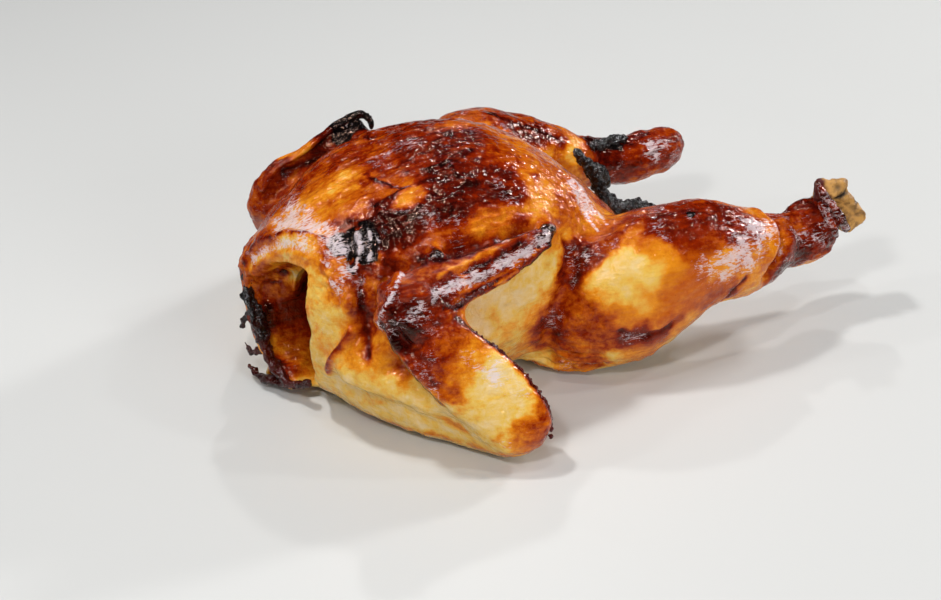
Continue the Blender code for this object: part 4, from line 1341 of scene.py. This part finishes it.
def aimed(obj, away, distance, target):
    obj.location = target + away * distance
    obj.rotation_mode = "QUATERNION"
    obj.rotation_quaternion = away.to_track_quat("Z", "Y")


def make_floor(colours):
    """A plain pale floor just under the bird."""
    mesh = bmesh.new()
    bmesh.ops.create_grid(mesh, x_segments=1, y_segments=1, size=FLOOR_SIZE / 2)
    data = bpy.data.meshes.new("floor")
    mesh.to_mesh(data)
    mesh.free()
    floor = object_of("floor", data)
    floor.location.z = LOW.z - FLOOR_GAP
    material, tree, shader = new_material("pale_floor")
    share = stretch_range(tree, object_noise(tree, 3.0), 0.3, 0.7, 0.0, 0.06)
    tone = mix_colour(tree, share, solid(colours.floor), FLOOR_SHADE)
    tree.links.new(tone, shader.inputs["Base Color"])
    shader.inputs["Roughness"].default_value = 0.5
    floor.data.materials.append(material)


def make_camera():
    """The camera, off the near side of the neck end and a little above."""
    data = bpy.data.cameras.new("camera")
    data.lens, data.sensor_width = CAMERA_LENS, 36.0
    data.clip_start, data.clip_end = 0.01, 50.0
    camera = object_of("camera", data)
    away = direction(CAMERA_AZIMUTH, CAMERA_ELEVATION)
    aimed(camera, away, CAMERA_DISTANCE * MM, Vector(to_world(CAMERA_AIM)))
    bpy.context.scene.camera = camera


def make_lamps():
    """Soft lamps round the bird, and a dim sky that doesn't show in the glaze."""
    middle = Vector(to_world(LAMP_TARGET))
    for name, azimuth, elevation, distance, width, height, power in LAMPS:
        data = bpy.data.lights.new(name, "AREA")
        data.shape, data.size, data.size_y, data.energy = "RECTANGLE", width, height, power
        lamp = object_of(name, data)
        lamp.visible_glossy = name != "fill_lamp"
        aimed(lamp, direction(azimuth, elevation), distance, middle)
    world = bpy.data.worlds.new("studio")
    bpy.context.scene.world = world
    world.use_nodes = True
    sky = world.node_tree.nodes["Background"]
    sky.inputs["Color"].default_value = SKY_COLOUR
    sky.inputs["Strength"].default_value = SKY_STRENGTH
    world.cycles_visibility.glossy = False
    bpy.context.scene.view_settings.view_transform = "Standard"


# ------------------------------------------------------------------------------------ operators and panel


class RoastOperator:
    bl_options = {"REGISTER", "UNDO"}

    def execute(self, context):
        self.make(context.scene.roast_sizes)
        return {"FINISHED"}


class ROAST_OT_skin(RoastOperator, bpy.types.Operator):
    """Makes the bird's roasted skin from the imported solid"""

    bl_idname = "roast.skin"
    bl_label = "Roasted skin"

    def make(self, sizes):
        make_skin(sizes)


class ROAST_OT_bone(RoastOperator, bpy.types.Operator):
    """Makes the bare joint end of the near leg"""

    bl_idname = "roast.bone"
    bl_label = "Bare bone"

    def make(self, sizes):
        make_bone(sizes)


class ROAST_OT_collar(RoastOperator, bpy.types.Operator):
    """Makes the rolled edge of skin round the bare joint end"""

    bl_idname = "roast.collar"
    bl_label = "Shank collar"

    def make(self, sizes):
        make_collar(sizes)


class ROAST_OT_shreds(RoastOperator, bpy.types.Operator):
    """Makes the burnt strips of skin round the neck opening"""

    bl_idname = "roast.shreds"
    bl_label = "Neck shreds"

    def make(self, sizes):
        make_neck_shreds(sizes)


class ROAST_OT_crumbs(RoastOperator, bpy.types.Operator):
    """Makes the burnt crumbs at the vent and in the crook of the far leg"""

    bl_idname = "roast.crumbs"
    bl_label = "Burnt crumbs"

    def make(self, sizes):
        make_crumbs(sizes)


class ROAST_OT_beads(RoastOperator, bpy.types.Operator):
    """Makes the beads of burnt fat along the rims of the near wing"""

    bl_idname = "roast.beads"
    bl_label = "Wing beads"

    def make(self, sizes):
        make_beads(sizes)


class ROAST_OT_blade(RoastOperator, bpy.types.Operator):
    """Makes the singed blade of the far wing"""

    bl_idname = "roast.blade"
    bl_label = "Far wing blade"

    def make(self, sizes):
        make_far_blade(sizes)


class ROAST_OT_stage(RoastOperator, bpy.types.Operator):
    """Makes the floor, the lamps and the camera"""

    bl_idname = "roast.stage"
    bl_label = "Stage"

    def make(self, sizes):
        make_floor(bpy.context.scene.roast_colours)
        make_lamps()
        make_camera()


OPERATORS = (ROAST_OT_skin, ROAST_OT_bone, ROAST_OT_collar, ROAST_OT_blade, ROAST_OT_shreds, ROAST_OT_crumbs,
             ROAST_OT_beads, ROAST_OT_stage)


class ROAST_PT_panel(bpy.types.Panel):
    """The steps and values of the roast chicken."""

    bl_idname = "ROAST_PT_panel"
    bl_label = "Roast chicken"
    bl_space_type = "VIEW_3D"
    bl_region_type = "UI"
    bl_category = "Roast chicken"

    def draw(self, context):
        for operator in OPERATORS:
            self.layout.operator(operator.bl_idname)
        for group in (context.scene.roast_sizes, context.scene.roast_colours):
            box = self.layout.box()
            for name in group.__annotations__:
                box.prop(group, name)


CLASSES = (RoastSizes, RoastColours, *OPERATORS, ROAST_PT_panel)


def register():
    for cls in CLASSES:
        bpy.utils.register_class(cls)
    bpy.types.Scene.roast_sizes = PointerProperty(type=RoastSizes)
    bpy.types.Scene.roast_colours = PointerProperty(type=RoastColours)


def unregister():
    del bpy.types.Scene.roast_colours
    del bpy.types.Scene.roast_sizes
    for cls in reversed(CLASSES):
        bpy.utils.unregister_class(cls)


def main():
    register()
    for step in ("skin", "bone", "collar", "blade", "shreds", "crumbs", "beads", "stage"):
        getattr(bpy.ops.roast, step)()


if __name__ == "__main__":
    main()
